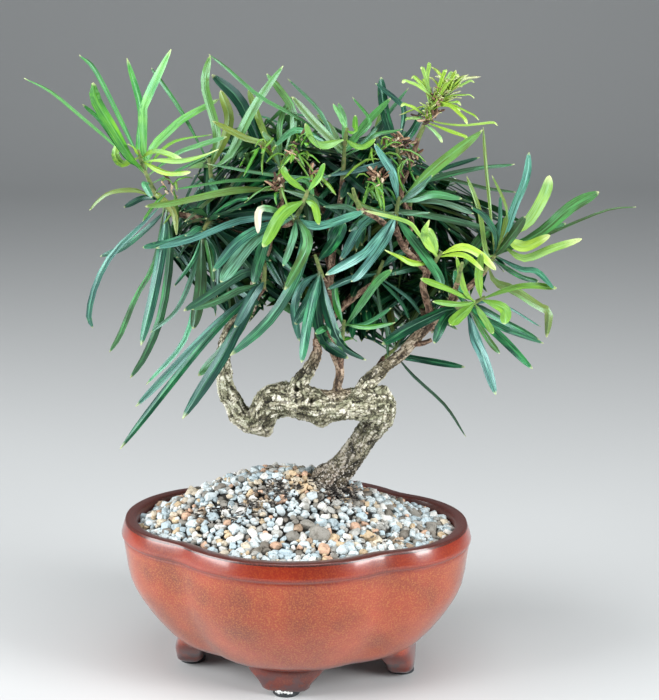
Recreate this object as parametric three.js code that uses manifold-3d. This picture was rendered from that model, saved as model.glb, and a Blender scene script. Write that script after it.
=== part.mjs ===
// Buddhist pine bonsai in a four-lobed glazed pot. Millimetres, +Z up, the pads standing on Z = 0.
import * as THREE from 'three';
import { mergeVertices } from 'three/addons/utils/BufferGeometryUtils.js';
import Module from 'manifold-3d';

const wasm = await Module();
wasm.setup();

// Driving dimensions of the pot
const POT_HEIGHT = 118;
const POT_HALF_WIDTH = 130.5;
const FRONT_LOBE_RADIUS = 102;
const SIDE_LOBE_RADIUS = 70.5;
const SIDE_LOBE_OFFSET = POT_HALF_WIDTH - SIDE_LOBE_RADIUS;
const POT_TURN = THREE.MathUtils.degToRad(-8.4);
const RIM_WIDTH = 11.5;
const WALL = 9;
const FLOOR_TOP = 32;
const POT_SIDES = 36;
const DRAIN_OFFSET = 42;
const DRAIN_RADIUS = 9;
const SCREEN_SIZE = 30;
const SCREEN_THICKNESS = 1.2;
const SCREEN_PITCH = 11.5;
const SCREEN_HOLE_RADIUS = 3.9;
const PAD_RADIUS = 10;
const PAD_HEIGHT = 4;
const FRONT_FOOT_RADIUS = 50;
const SIDE_FOOT_RADIUS = 80;
const FOOT_CHAMFER = 4;
const RIM_HALF_WIDTH = 129;
const RIM_FALL = 0.6;

// Outer half width of the pot at each height, from the underside to the rim
const POT_PROFILE = [
  [20, 76], [27, 91.5], [40, 104.5], [54, 115], [72, 124.5], [102, 129.2], [104, 127.7],
  [107, 130], [POT_HEIGHT, POT_HALF_WIDTH],
];

// Foot: height, half width, half depth and lean at each level, from the pad up into the bowl
const FOOT_LEVELS = [[4.3, 17, 10, 0], [10, 19.5, 11, -0.5], [19, 25, 13, -3], [29, 30, 14, -8]];

// Driving dimensions of the soil, the gravel and the tree
const SEAT_GAP = 0.3;
const STEM_GAP = 0.5;
const SOIL_EDGE = 103;
const GRAVEL_DEPTH = 8;
const MOUND_HEIGHT = 38;
const MOUND_CENTRE = new THREE.Vector2(-12, 18);
const MOUND_SPREAD = new THREE.Vector2(85, 60);
const PEBBLE = 8;
const PEBBLE_RELIEF = 2.2;
const GRAVEL_END = 114;
const GRAVEL_MARGIN = 2;
const EDGE_STEP = 0.5;
const MOUND_SECTIONS = 19;
const TOP_POINTS = 15;
const UNDER_POINTS = 3;
const BLADE_THICKNESS = 1;
const TAPER_START = 1.75;
const TAPER_RATE = 1.1;
const ROOT_WIDTH = 1.2;
const SHORT_LEAF = 60;
const BOWED = 1.08;
const LEAF_ARCH = 0.07;
const LEAF_LENGTHS = [72, 108];
const LEAF_WIDTHS = [5.5, 8.5];
const LEAF_DROOPS = [0.08, 0.28];
const LEAF_RISES = [-0.55, 0.95];
const LEAF_TURN = 2.4;
const OUTWARD_PULL = 0.75;
const LOWEST_LEAF = 0.2;
const LEAFY_SHARE = 0.77;
const LEAF_SCATTER = 0.6;
const COLLAR_SCALE = 1.17;
const COLLAR_BOTTOM = 116;
const TRUNK_SIDES = 8;
const TRUNK_STEPS = 32;
const TRUNK_SWELL = 0.12;
const STOUT_RADIUS = 4;
const STOUT_SIDES = 6;
const SLIM_SIDES = 3;
const STEM_RADIUS = 2;
const STEM_TIP_RADIUS = 1.4;
const STEM_SIDES = 3;
const VIEW_DISTANCE = 1200;
const VIEW_HEIGHT = 534;
const CROWN_CENTRE = new THREE.Vector3(18, 20, 335);
const CROWN_DEPTH = 92;

const COLOURS = {
  dark: 0x24502f, bright: 0x4f8f36, yellow: 0xa9bf3c, bark: 0x8d8873, glaze: 0xb04a2e,
  rubber: 0x23262a, screen: 0x1d1f1f, soil: 0x2c2119, gravel: 0xc9c8c1,
};

// A repeatable draw of numbers from 0 to 1
function draws(seed) {
  let state = seed >>> 0;
  return () => {
    state = (Math.imul(state, 1664525) + 1013904223) >>> 0;
    return state / 4294967296;
  };
}

// The tree's routes are given as they look from the front, where the line of sight crosses the
// plane through the pot's middle, with their depth behind that plane.
function seen(x, z, depth) {
  const scale = (VIEW_DISTANCE + depth) / VIEW_DISTANCE;
  return new THREE.Vector3(x * scale, depth, VIEW_HEIGHT + (z - VIEW_HEIGHT) * scale);
}

// How a point looks from the front, the other way round from seen()
function lookedAt(point) {
  const scale = VIEW_DISTANCE / (VIEW_DISTANCE + point.y);
  return new THREE.Vector2(point.x * scale, VIEW_HEIGHT + (point.z - VIEW_HEIGHT) * scale);
}

// A closed skin over rings of points that run anticlockwise about the way of travel
function skin(rings, apex) {
  const sides = rings[0].length;
  const points = rings.flat();
  const faces = [];
  const last = (rings.length - 1) * sides;
  const cap = (first, flip) => {
    if (sides === 3) {
      faces.push(flip ? [first, first + 2, first + 1] : [first, first + 1, first + 2]);
      return;
    }
    const middle = points.slice(first, first + sides)
      .reduce((sum, point) => sum.add(point), new THREE.Vector3()).divideScalar(sides);
    points.push(middle);
    for (let i = 0; i < sides; i++) {
      const a = first + i;
      const b = first + (i + 1) % sides;
      faces.push(flip ? [points.length - 1, b, a] : [points.length - 1, a, b]);
    }
  };
  for (let start = 0; start < last; start += sides) {
    for (let i = 0; i < sides; i++) {
      const a = start + i;
      const b = start + (i + 1) % sides;
      faces.push([a, b, b + sides], [a, b + sides, a + sides]);
    }
  }
  cap(0, true);
  if (apex) {
    points.push(apex);
    for (let i = 0; i < sides; i++) {
      faces.push([last + i, last + (i + 1) % sides, points.length - 1]);
    }
  } else {
    cap(last, false);
  }
  const geometry = new THREE.BufferGeometry().setFromPoints(points);
  geometry.setIndex(faces.flat());
  return geometry;
}

// A solid for joining and cutting, from a closed geometry
function solidOf(geometry) {
  const bare = new THREE.BufferGeometry();
  bare.setAttribute('position', geometry.getAttribute('position'));
  bare.setIndex(geometry.index);
  const merged = mergeVertices(bare, 1e-4);
  return new wasm.Manifold(new wasm.Mesh({
    numProp: 3,
    vertProperties: new Float32Array(merged.getAttribute('position').array),
    triVerts: new Uint32Array(merged.index.array),
  }));
}

function joined(solids) {
  return solids.reduce((whole, solid) => whole.add(solid));
}

// The largest body of a solid, without the crumbs that a join can leave
function largest(solid) {
  return solid.decompose().sort((a, b) => b.volume() - a.volume())[0];
}

const bonsai = new THREE.Group();

function addPiece(name, solid, colour, roughness) {
  const mesh = solid.getMesh();
  const geometry = new THREE.BufferGeometry();
  geometry.setAttribute('position', new THREE.BufferAttribute(new Float32Array(mesh.vertProperties), 3));
  geometry.setIndex(new THREE.BufferAttribute(new Uint32Array(mesh.triVerts), 1));
  geometry.computeVertexNormals();
  const material = new THREE.MeshStandardMaterial({ color: colour, roughness, metalness: 0 });
  const piece = new THREE.Mesh(geometry, material);
  piece.name = name;
  bonsai.add(piece);
}

// Pot: four lobes, two wide ones at front and back and two round ones at the sides
function lobeRadius(angle) {
  const across = Math.abs(Math.cos(angle));
  const along = Math.sin(angle);
  const inside = SIDE_LOBE_RADIUS ** 2 - (SIDE_LOBE_OFFSET * along) ** 2;
  const side = inside > 0 ? SIDE_LOBE_OFFSET * across + Math.sqrt(inside) : 0;
  return Math.max(FRONT_LOBE_RADIUS, side);
}

function lobeRing(halfWidth, inset, z) {
  return Array.from({ length: POT_SIDES }, (_, i) => {
    const angle = i / POT_SIDES * Math.PI * 2;
    const radius = lobeRadius(angle) * halfWidth / POT_HALF_WIDTH - inset;
    return new THREE.Vector3(radius * Math.cos(angle + POT_TURN), radius * Math.sin(angle + POT_TURN), z);
  });
}

function potHalfWidth(z) {
  const above = POT_PROFILE.findIndex(([height]) => height >= z);
  const [lowZ, low] = POT_PROFILE[above - 1];
  const [highZ, high] = POT_PROFILE[above];
  return low + (high - low) * (z - lowZ) / (highZ - lowZ);
}

function cavityRing(z, clearance) {
  const inset = z > SOIL_EDGE ? RIM_WIDTH : WALL;
  return lobeRing(Math.min(potHalfWidth(z), RIM_HALF_WIDTH), inset + clearance, z);
}

const CAVITY_HEIGHTS = [FLOOR_TOP, 45, 70, SOIL_EDGE];

function turned(radius, angle, z) {
  return new THREE.Vector3(radius * Math.cos(angle + POT_TURN), radius * Math.sin(angle + POT_TURN), z);
}

function cylinder(radius, height, x, y, bottom) {
  const geometry = new THREE.CylinderGeometry(radius, radius, height, 16);
  geometry.rotateX(Math.PI / 2);
  geometry.translate(x, y, bottom + height / 2);
  return solidOf(geometry);
}

// A foot is a chamfered block that widens upwards into the bowl
function foot(distance, angle) {
  const outward = turned(1, angle, 0);
  const sideways = turned(1, angle + Math.PI / 2, 0);
  return solidOf(skin(FOOT_LEVELS.map(([z, halfWidth, halfDepth, lean]) => {
    const cutWidth = halfWidth - FOOT_CHAMFER;
    const cutDepth = halfDepth - FOOT_CHAMFER;
    const corners = [
      [halfDepth, -cutWidth], [halfDepth, cutWidth], [cutDepth, halfWidth], [-cutDepth, halfWidth],
      [-halfDepth, cutWidth], [-halfDepth, -cutWidth], [-cutDepth, -halfWidth], [cutDepth, -halfWidth],
    ];
    return corners.map(([out, across]) => outward.clone().multiplyScalar(distance + lean + out)
      .addScaledVector(sideways, across).setZ(z));
  })));
}

const FEET = [
  ['front', FRONT_FOOT_RADIUS, -Math.PI / 2], ['right', SIDE_FOOT_RADIUS, 0],
  ['back', FRONT_FOOT_RADIUS, Math.PI / 2], ['left', SIDE_FOOT_RADIUS, Math.PI],
];

const drains = [0, Math.PI].map((angle) => turned(DRAIN_OFFSET, angle, 0));

function makePot() {
  const outside = POT_PROFILE.map(([z, halfWidth]) => lobeRing(halfWidth, 0, z));
  const inside = CAVITY_HEIGHTS.map((z) => cavityRing(z, 0)).reverse();
  const innerRim = [lobeRing(RIM_HALF_WIDTH, RIM_WIDTH, POT_HEIGHT - RIM_FALL)];
  const bowl = solidOf(skin([...outside, ...innerRim, ...inside]));
  const feet = FEET.map(([, distance, angle]) => foot(distance, angle));
  const holes = drains.map(({ x, y }) => cylinder(DRAIN_RADIUS, FLOOR_TOP, x, y, PAD_HEIGHT));
  const hollow = solidOf(skin(CAVITY_HEIGHTS.map((z) => cavityRing(z, 0))));
  return joined([bowl, joined(feet).subtract(hollow)]).subtract(joined(holes));
}

// A square of plastic mesh lies over each drain hole
function makeScreen({ x, y }) {
  const half = SCREEN_SIZE / 2;
  const outline = new THREE.Shape([
    new THREE.Vector2(-half, -half), new THREE.Vector2(half, -half),
    new THREE.Vector2(half, half), new THREE.Vector2(-half, half),
  ]);
  for (const column of [-0.5, 0.5]) {
    for (const row of [-0.5, 0.5]) {
      const hole = new THREE.Path();
      hole.absarc(column * SCREEN_PITCH, row * SCREEN_PITCH, SCREEN_HOLE_RADIUS, 0, Math.PI * 2, true);
      outline.holes.push(hole);
    }
  }
  const geometry = new THREE.ExtrudeGeometry(outline, {
    depth: SCREEN_THICKNESS, bevelEnabled: false, curveSegments: 2,
  });
  geometry.rotateZ(POT_TURN);
  geometry.translate(x, y, FLOOR_TOP + SEAT_GAP);
  return solidOf(geometry);
}

// Mound of soil with a layer of gravel: both are drawn in sections across X
function moundTop(x, y, edge) {
  const angle = Math.atan2(y, x) - POT_TURN;
  const reach = Math.min(1, Math.hypot(x, y) / (lobeRadius(angle) - RIM_WIDTH));
  const across = (x - MOUND_CENTRE.x) / MOUND_SPREAD.x;
  const along = (y - MOUND_CENTRE.y) / MOUND_SPREAD.y;
  return edge + MOUND_HEIGHT * Math.exp(-(across ** 2) - along ** 2) * (1 - reach ** 5);
}

// The gravel's front and back edge at a given x, on the lobed line inside the rim
function gravelEdges(x) {
  const edge = (sign) => {
    const room = (y) => lobeRadius(Math.atan2(sign * y, x) - POT_TURN) - RIM_WIDTH - GRAVEL_MARGIN;
    let y = 0;
    while (Math.hypot(x, y) < room(y)) y += EDGE_STEP;
    return sign * y;
  };
  return [edge(-1), edge(1)];
}

// Points across the mound at a given x, from front to back
function moundLine(x, count, edgeHeight) {
  const [front, back] = gravelEdges(THREE.MathUtils.clamp(x, -GRAVEL_END, GRAVEL_END));
  return Array.from({ length: count }, (_, i) => {
    const y = THREE.MathUtils.lerp(front, back, i / (count - 1));
    return new THREE.Vector3(x, y, moundTop(x, y, edgeHeight));
  });
}

function makeGravel() {
  const draw = draws(11);
  const rings = [];
  for (let section = 0; section <= MOUND_SECTIONS; section++) {
    const along = section / MOUND_SECTIONS * 2 - 1;
    const x = along * GRAVEL_END;
    const [front, back] = gravelEdges(x);
    const ended = section === 0 || section === MOUND_SECTIONS;
    const under = moundLine(x, UNDER_POINTS, SOIL_EDGE + SEAT_GAP);
    const top = Array.from({ length: TOP_POINTS }, (_, i) => {
      const rim = ended || i === 0 || i === TOP_POINTS - 1;
      const shift = rim ? 0 : (draw() - 0.5) * 0.5;
      const y = THREE.MathUtils.lerp(front, back, (i + shift) / (TOP_POINTS - 1));
      const lift = rim ? 0 : (draw() - 0.35) * 2 * PEBBLE_RELIEF;
      const slide = rim ? 0 : (draw() - 0.5) * PEBBLE * 0.4;
      return new THREE.Vector3(x + slide, y, moundTop(x, y, SOIL_EDGE) + GRAVEL_DEPTH + lift);
    });
    rings.push([...under, ...top.reverse()]);
  }
  return solidOf(skin(rings));
}

// The soil fills the pot up to the underside of the gravel
function makeSoil() {
  const reach = POT_HALF_WIDTH;
  const above = SOIL_EDGE + MOUND_HEIGHT * 2;
  const stations = Array.from({ length: MOUND_SECTIONS + 1 },
    (_, section) => (section / MOUND_SECTIONS * 2 - 1) * GRAVEL_END);
  const lid = solidOf(skin([-reach, ...stations, reach].map((x) => [
    new THREE.Vector3(x, -reach, SOIL_EDGE), ...moundLine(x, UNDER_POINTS, SOIL_EDGE),
    new THREE.Vector3(x, reach, SOIL_EDGE), new THREE.Vector3(x, reach, above),
    new THREE.Vector3(x, -reach, above),
  ])));
  const sides = CAVITY_HEIGHTS.map((z) => cavityRing(z, SEAT_GAP).map((point) => point.setZ(z)));
  sides[0].forEach((point) => point.setZ(FLOOR_TOP + SEAT_GAP));
  const brim = cavityRing(POT_HEIGHT, SEAT_GAP).map((point) => point.setZ(above - 1));
  const column = solidOf(skin([...sides, brim]));
  const screens = drains.map(({ x, y }) => {
    const wide = SCREEN_SIZE + 1;
    const slab = new THREE.BoxGeometry(wide, wide, (SCREEN_THICKNESS + SEAT_GAP * 2) * 2);
    slab.rotateZ(POT_TURN);
    slab.translate(x, y, FLOOR_TOP);
    return solidOf(slab);
  });
  return column.subtract(lid).subtract(joined(screens));
}

// Wood: each limb is a list of x and z as seen from the front, depth and radius
function limbCurve(route) {
  return new THREE.CatmullRomCurve3(route.map((point) => seen(...point)), false, 'centripetal');
}

function limbRings(route, sides, steps, swell) {
  const curve = limbCurve(route);
  const across = new THREE.Vector3(0.3, -1, 0.2).normalize();
  return Array.from({ length: steps + 1 }, (_, step) => {
    const t = step / steps;
    const at = Math.min(route.length - 1.0001, t * (route.length - 1));
    const before = Math.floor(at);
    const radius = THREE.MathUtils.lerp(route[before][3], route[before + 1][3], at - before);
    const centre = curve.getPoint(t);
    const travel = curve.getTangent(t);
    const side = new THREE.Vector3().crossVectors(travel, across).normalize();
    const up = new THREE.Vector3().crossVectors(side, travel);
    return Array.from({ length: sides }, (_, i) => {
      const angle = i / sides * Math.PI * 2;
      const bulge = radius * (1 + swell * Math.sin(angle * 3 + t * 23) * Math.sin(t * 31 + angle));
      return centre.clone().addScaledVector(up, bulge * Math.cos(angle))
        .addScaledVector(side, bulge * Math.sin(angle));
    });
  });
}

function limb(route, sides, steps = route.length - 1, swell = 0) {
  return solidOf(skin(limbRings(route, sides, steps, swell)));
}

const TRUNK = [
  [20, 128, 13, 17], [25, 146, 12, 14], [30, 152, 10, 11], [39.5, 161.5, 8, 9.5], [45, 170, 6, 9],
  [51.5, 180.5, 4, 9], [60, 193, 0, 10.5], [62.5, 205, -4, 12], [50, 204.5, -7, 12.5],
  [30, 204.5, -9, 11], [18, 203.5, -9, 12.5], [5, 206.5, -8, 12.5], [-9, 208.5, -6, 12.8],
  [-20, 204, -4, 12], [-26.5, 194.5, -2, 10.2], [-36, 194, 0, 8.8], [-43.5, 204, 2, 7.4],
  [-49, 214, 3, 6.8], [-51.5, 226, 4, 6.2], [-51.5, 244, 4, 5.5], [-45, 263.5, 3, 5],
  [-35, 273, 2, 4.6], [-30, 283.5, 1, 4.3], [-27, 300, 2, 4], [-20, 322, 3, 3.6],
  [-12, 345, 0, 2.8], [-8, 358, -6, 1.8],
];

const BRANCHES = [
  [[3, 212, -8, 7], [3, 221, -8, 6.3], [10.5, 232, -8, 5], [16.5, 245.5, -8, 3.5], [15, 254.5, -8, 2]],
  [[31, 210, -8, 5], [31, 219, -8, 3.6], [33, 229.5, -8, 3.2], [27, 250, -5, 3], [25, 285, 0, 2.8],
    [28, 320, 5, 2.5], [33, 355, 4, 2.1], [35, 372, 2, 1.8]],
  [[50, 209, -6, 7], [51, 219, -5, 6], [59, 226.5, -4, 5.2], [67, 234, -4, 4.5], [76, 241, -4, 4.2],
    [86, 251, -5, 3.9], [94, 260.5, -6, 3.5], [102.5, 268, -8, 3], [111, 272, -9, 2.4],
    [116, 275.5, -10, 1.8]],
  [[86, 250, -6, 2.4], [93, 250.5, -10, 2], [99.5, 253, -12, 1.5]],
  [[100, 266, -8, 2.8], [97, 278, -8, 2.6], [93, 293, -7, 2.5], [95, 303, -6, 2.4], [88, 311.5, -4, 2.3],
    [79, 321, -4, 2.2], [74, 332, -6, 2], [72, 340, -12, 1.8]],
  [[102, 268, -8, 2.6], [112, 280, -4, 2.4], [126, 292, -4, 2.2], [138, 304, -8, 1.8]],
  [[94, 296, -7, 2.2], [96, 301, -14, 2], [98, 306, -20, 1.8]],
  [[79, 321, -4, 2.2], [84, 338, 6, 2], [82, 352, 20, 1.8]],
  [[83, 343, 11, 2], [76, 362, 8, 1.9], [77, 380, 4, 1.8]],
  [[77, 368, 7, 1.9], [84, 385, 2, 1.9], [88, 400, 0, 1.8]],
  [[-20, 322, 3, 3.2], [-33, 331, 4, 2.8], [-58, 340, 4, 2.5], [-78, 345, 4, 2.2], [-88, 347, 3, 1.8]],
  [[-46, 337, 4, 2.3], [-53, 350, 7, 2], [-58, 364, 8, 1.8]],
  [[-50, 338, 4, 2.2], [-56, 342, 0, 2], [-60, 345, -4, 1.8]],
  [[-28, 285, 1, 3], [-25, 289, -8, 2.4], [-22, 292, -16, 1.8]],
  [[-13, 340, 1, 2.4], [-7, 338, -12, 2], [0, 340, -24, 1.8]],
  [[25, 285, 0, 2.6], [23, 294, -8, 2.2], [20, 300, -20, 1.8]],
  [[33, 232, -8, 2.6], [34, 241, -11, 2.2], [34, 250, -14, 1.8]],
  [[27, 270, -2, 2.4], [42, 284, 6, 2.2], [58, 296, 10, 1.8]],
  [[60, 228, -4, 3], [62, 234, 4, 2.4], [65, 240, 12, 1.8]],
  [[-24, 308, 3, 3], [-28, 318, 20, 2.6], [-38, 330, 38, 2.2], [-50, 342, 46, 1.8]],
  [[-28, 318, 20, 2.4], [-18, 338, 44, 2.2], [-10, 352, 56, 1.8]],
  [[-38, 330, 38, 2.2], [-40, 318, 52, 2], [-44, 308, 62, 1.8]],
  [[-17, 330, 2, 2.4], [-24, 352, 16, 2.2], [-28, 372, 30, 1.8]],
  [[27, 305, 3, 2.6], [24, 316, 24, 2.4], [28, 330, 50, 2.2], [34, 344, 68, 1.8]],
  [[24, 316, 24, 2.2], [12, 316, 46, 2], [4, 312, 66, 1.8]],
  [[29, 328, 5, 2.4], [18, 356, 22, 2.2], [8, 382, 34, 1.8]],
  [[30, 338, 4, 2.3], [46, 362, 22, 2.1], [54, 382, 34, 1.8]],
  [[88, 311.5, -4, 2.4], [86, 322, 18, 2.3], [92, 336, 44, 2.1], [98, 346, 58, 1.8]],
  [[87, 327, 28, 2.2], [70, 330, 52, 2], [64, 334, 72, 1.8]],
  [[112, 280, -4, 2.3], [118, 292, 20, 2.1], [128, 304, 44, 1.8]],
  [[99, 262, -6, 2.8], [94, 272, 18, 2.4], [86, 286, 42, 2.1], [82, 296, 58, 1.8]],
  [[36, 280, 3, 2.3], [44, 290, 28, 2.1], [46, 300, 48, 1.8]],
  [[74, 331, -6, 2.2], [60, 342, -20, 2], [46, 350, -34, 1.8]],
  [[112, 280, -4, 2.2], [116, 290, -20, 2], [118, 296, -34, 1.8]],
  [[-58, 340, 4, 2.2], [-72, 332, 18, 2], [-82, 326, 30, 1.8]],
];

function makeWood() {
  const trunk = limb(TRUNK, TRUNK_SIDES, TRUNK_STEPS, TRUNK_SWELL);
  const sides = (route) => (route[0][3] > STOUT_RADIUS ? STOUT_SIDES : SLIM_SIDES);
  return joined([trunk, ...BRANCHES.map((route) => limb(route, sides(route)))]);
}

// Leafy stems. Each has a stem, as seen from the front with its depth, and its leaves: width,
// how far the tip reaches back (minus is towards the front), then x and z of the points it
// passes through on the way to its tip. Leaves the front doesn't show are drawn by a rule.
const SHOOTS = [
  { name: 'shoot_left_low', colour: 'dark', more: 3, stem: [[-88, 347, 3], [-99, 361, 2]], leaves: [
    [4, 10, -109, 362.5, -120, 363.5, -131.5, 361.5, -140, 355.5, -145.5, 349],
    [4.5, -12, -107, 358, -121, 351], [4.5, -10, -97, 360, -86, 348, -84, 331],
    [4.5, 14, -107, 340, -129, 319, -142, 297, -148.5, 274, -146, 263],
    [5, 30, -103, 336.5, -121.5, 322, -139, 315.5], [7.5, -14, -94.5, 322, -101.5, 288.5, -111.5, 250],
    [6, 16, -88.5, 322, -95.5, 276, -107.5, 245.5, -120, 225.5],
    [4.5, 32, -100.5, 310.5, -114, 286.5, -126, 259, -134.5, 245],
  ] },
  { name: 'shoot_left_young', colour: 'bright', more: 2, stem: [[-99, 361, 2], [-107, 381, 0]], leaves: [
    [2.6, 20, -126, 395, -150, 416, -170, 433, -188, 442], [3.5, 8, -121.5, 413, -138.5, 448, -149, 458],
    [8, -10, -116, 388, -126, 405, -138, 426, -140, 439], [4, -22, -118, 387, -135, 412, -148, 424],
    [5, 12, -109, 393, -107, 420, -116, 456], [7, -6, -106, 413, -102, 429, -85, 462],
    [6, 14, -100, 393, -88, 405, -76.5, 414.5, -52, 427.5], [2.5, 6, -86, 397, -58, 402.5],
    [4, -8, -83, 389, -67, 395, -47, 401], [4.5, -14, -106, 368, -101, 358],
  ] },
  { name: 'shoot_left_yellow', colour: 'yellow', more: 0, stem: [[-107, 381, 0], [-110, 392, -2]], leaves: [
    [5, -34, -96, 385, -81.5, 384, -67, 387, -53, 392], [5, -20, -96.5, 390, -78, 384],
    [4.5, -24, -91, 376, -73, 376], [6, -18, -121, 382, -126, 389, -122, 399], [4, 10, -117, 396],
  ] },
  { name: 'shoot_crown_left', colour: 'dark', more: 5, stem: [[-58, 364, 8], [-60, 386, 4]], leaves: [
    [7, -14, -45, 388.5, -33, 412.5, -20.5, 432.5, -7, 450.5], [6, 8, -54, 402.5, -62, 435.5, -58, 457.5],
    [3, 14, -77, 416, -92, 439, -99, 449], [5, -20, -58, 368, -54.5, 359],
    [7, 20, -45.5, 410.5, -51, 433.5],
  ] },
  { name: 'shoot_crown_middle', colour: 'dark', more: 3, stem: [[-8, 358, -6], [-9, 384, -10]], leaves: [
    [6, -10, -43, 363, -82, 355, -106, 351.5], [3, 0, -45, 370, -84, 364],
    [5, 12, -21.5, 395, -34.5, 400, -57, 412], [9, 18, -20, 388.5, -37.5, 425.5, -57, 444.5],
    [5, 26, -25, 415, -31.5, 434], [5, -10, -14, 395, -22, 404.5], [4, 15, -9.5, 410.5, -1, 429],
    [5.5, 14, 0.5, 414.5, -10.5, 435.5, -18.5, 445], [5.5, -30, 13, 357, 17, 344],
    [4, -25, 8, 370, 14, 359],
  ] },
  { name: 'shoot_crown_right', colour: 'dark', more: 3, stem: [[35, 372, 2], [36, 397, -2]], leaves: [
    [6, -12, 26.5, 398.5, 13.5, 412.5, -1, 429], [3, 10, 30.5, 392.5, 18.5, 418.5, -4, 441.5],
    [3, -20, 6.5, 412.5, -23.5, 429, -46, 448.5, -59, 458.5], [4, 25, 36, 403, 35.5, 414.5, 31.5, 424.5],
    [4, 30, 28, 405, 16.5, 416.5], [6, 14, 39.5, 395, 50.5, 410, 68.5, 428], [3, 20, 51.5, 400, 81, 435],
    [3, 18, 50, 405, 53.5, 413.5, 41.5, 428.5], [4, -18, 50, 395, 58.5, 402.5, 77, 406],
    [5, -24, 16, 401, 0.5, 405.5, -13.5, 394], [3, -14, 20, 372, -10.5, 373.5, -61.5, 382],
  ] },
  { name: 'shoot_crown_tip', colour: 'bright', more: 0, stem: [[36, 397, -2], [38, 407, -4]], leaves: [
    [7, -26, 18.5, 396, 8, 410], [5, -25, 47.5, 394, 58, 399], [4, -15, 43, 405, 43.5, 416],
    [4, 12, 33, 415, 28, 424],
  ] },
  { name: 'shoot_crown_far_right', colour: 'dark', more: 4, stem: [[77, 380, 4], [72, 395, 8]], leaves: [
    [7, 16, 64.5, 416.5, 61.5, 442.5], [4, 10, 78, 418, 72.5, 426.5, 57.5, 438.5],
    [5, -14, 55, 379.5, 24.5, 373], [6, 20, 84, 405, 92, 422],
  ] },
  { name: 'shoot_top_young', colour: 'yellow', more: 0, stem: [[88, 400, 0], [102.5, 431, -2]], leaves: [
    [4, 6, 94, 440, 95.5, 452], [4, -8, 90.5, 449], [4, 10, 84.5, 443], [5, -10, 78.5, 440.5],
    [3, 14, 91, 441], [4, -14, 78, 424], [4, -5, 106.5, 447], [4, 8, 111, 445.5], [4, -12, 114.5, 444],
    [2.5, 4, 124.5, 440], [4, 12, 116.5, 437.5], [2.5, -6, 124, 430], [4, -16, 115.5, 425],
    [5, 10, 115, 421.5], [2.5, -12, 128, 415.5], [4, -18, 121, 413], [3, 2, 114.5, 408.5, 141, 410.5],
    [4, -14, 112, 404, 121.5, 400.5], [4, -16, 103.5, 400], [4, 10, 79.5, 413.5], [3, 0, 104.5, 439],
  ] },
  { name: 'shoot_right_middle', colour: 'dark', more: 3, stem: [[72, 340, -12], [75, 358, -16]], leaves: [
    [8.5, -6, 94.5, 374, 114.5, 390.5, 133.5, 405.5], [6, -18, 90.5, 365, 98.5, 373],
    [6, -10, 72, 369.5, 68.5, 378.5, 57, 396], [5, -12, 50, 346, 36, 351, 21, 351],
    [4, -24, 51, 351, 38, 361], [7, -14, 51, 340.5, 33.5, 312.5], [7, -26, 57, 325, 47, 315.5, 22.5, 301.5],
    [6, -4, 67, 330, 50, 306, 41, 296.5], [5, 10, 80.5, 347, 107.5, 342.5, 146.5, 332.5],
    [3.5, -20, 84, 346, 97, 346.5], [6, -14, 88, 357, 99.5, 360, 120, 356.5],
    [5, -22, 104, 354, 128.5, 345.5], [7, -10, 84.5, 328, 101.5, 305, 107.5, 292.5],
  ] },
  { name: 'shoot_right_rear', colour: 'dark', more: 5, stem: [[82, 352, 20], [88, 373, 24]], leaves: [
    [4, 6, 101, 376, 132, 386], [5, -6, 101.5, 372, 130.5, 378.5, 157, 381],
    [3, 10, 106.5, 371, 137, 364, 158.5, 361],
  ] },
  { name: 'shoot_far_right', colour: 'dark', more: 2, stem: [[138, 304, -8], [147, 320, -10]], leaves: [
    [6, 8, 149.5, 325.5, 157.5, 349.5, 165.5, 371, 167, 389.5],
    [8.5, -8, 176, 331.5, 198.5, 350.5, 218, 361], [5, 6, 172, 329, 195, 338.5],
    [2.4, 0, 175.5, 327.5, 200.5, 338.5, 225.5, 348, 245, 350], [7, -20, 155, 328, 165.5, 343.5],
    [2.4, 12, 139.5, 355.5, 136.5, 381, 134, 407.5], [3.5, -6, 138, 317.5, 132.5, 348, 123, 372.5],
    [3.5, -12, 151, 337, 151.5, 350.5, 141, 373], [3, -18, 147.5, 340, 147.5, 358.5],
    [5, -16, 163, 305.5, 175, 303.5, 188.5, 290], [4, -24, 162, 300.5, 176.5, 296],
    [5, -30, 144.5, 332, 135.5, 345, 127, 350],
    [7, 6, 145, 296, 159, 290, 177, 278, 184.5, 273, 183.5, 254.5],
  ] },
  { name: 'shoot_far_right_young', colour: 'yellow', more: 0, stem: [[147, 320, -10], [154, 332, -12]],
    leaves: [
    [8, -4, 168, 340, 179.5, 360.5, 182, 373], [9, -14, 165.5, 321.5, 184, 329.5],
    [6, -2, 165, 313, 185, 320, 207, 327],
  ] },
  { name: 'shoot_low_right', colour: 'dark', more: 2, stem: [[116, 275.5, -10], [128, 279, -14]], leaves: [
    [8.5, -8, 107.5, 274, 84, 262.5, 63.5, 250], [7, -22, 109, 268, 101.5, 250.5],
    [8, -10, 131.5, 254, 138, 239, 147.5, 211.5], [7, -4, 133.5, 271, 154.5, 251, 174, 231],
    [5, -16, 146, 264.5, 158.5, 258.5, 181.5, 250], [6, 6, 135.5, 276.5, 156.5, 264.5, 178.5, 252.5],
    [4.5, -26, 140, 255, 149.5, 242.5], [5.5, 10, 118, 292, 116, 305], [2.5, 14, 146, 281, 179, 262.5],
  ] },
  { name: 'shoot_low_right_young', colour: 'bright', more: 0, stem: [[128, 279, -14], [138, 285, -16]],
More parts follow.
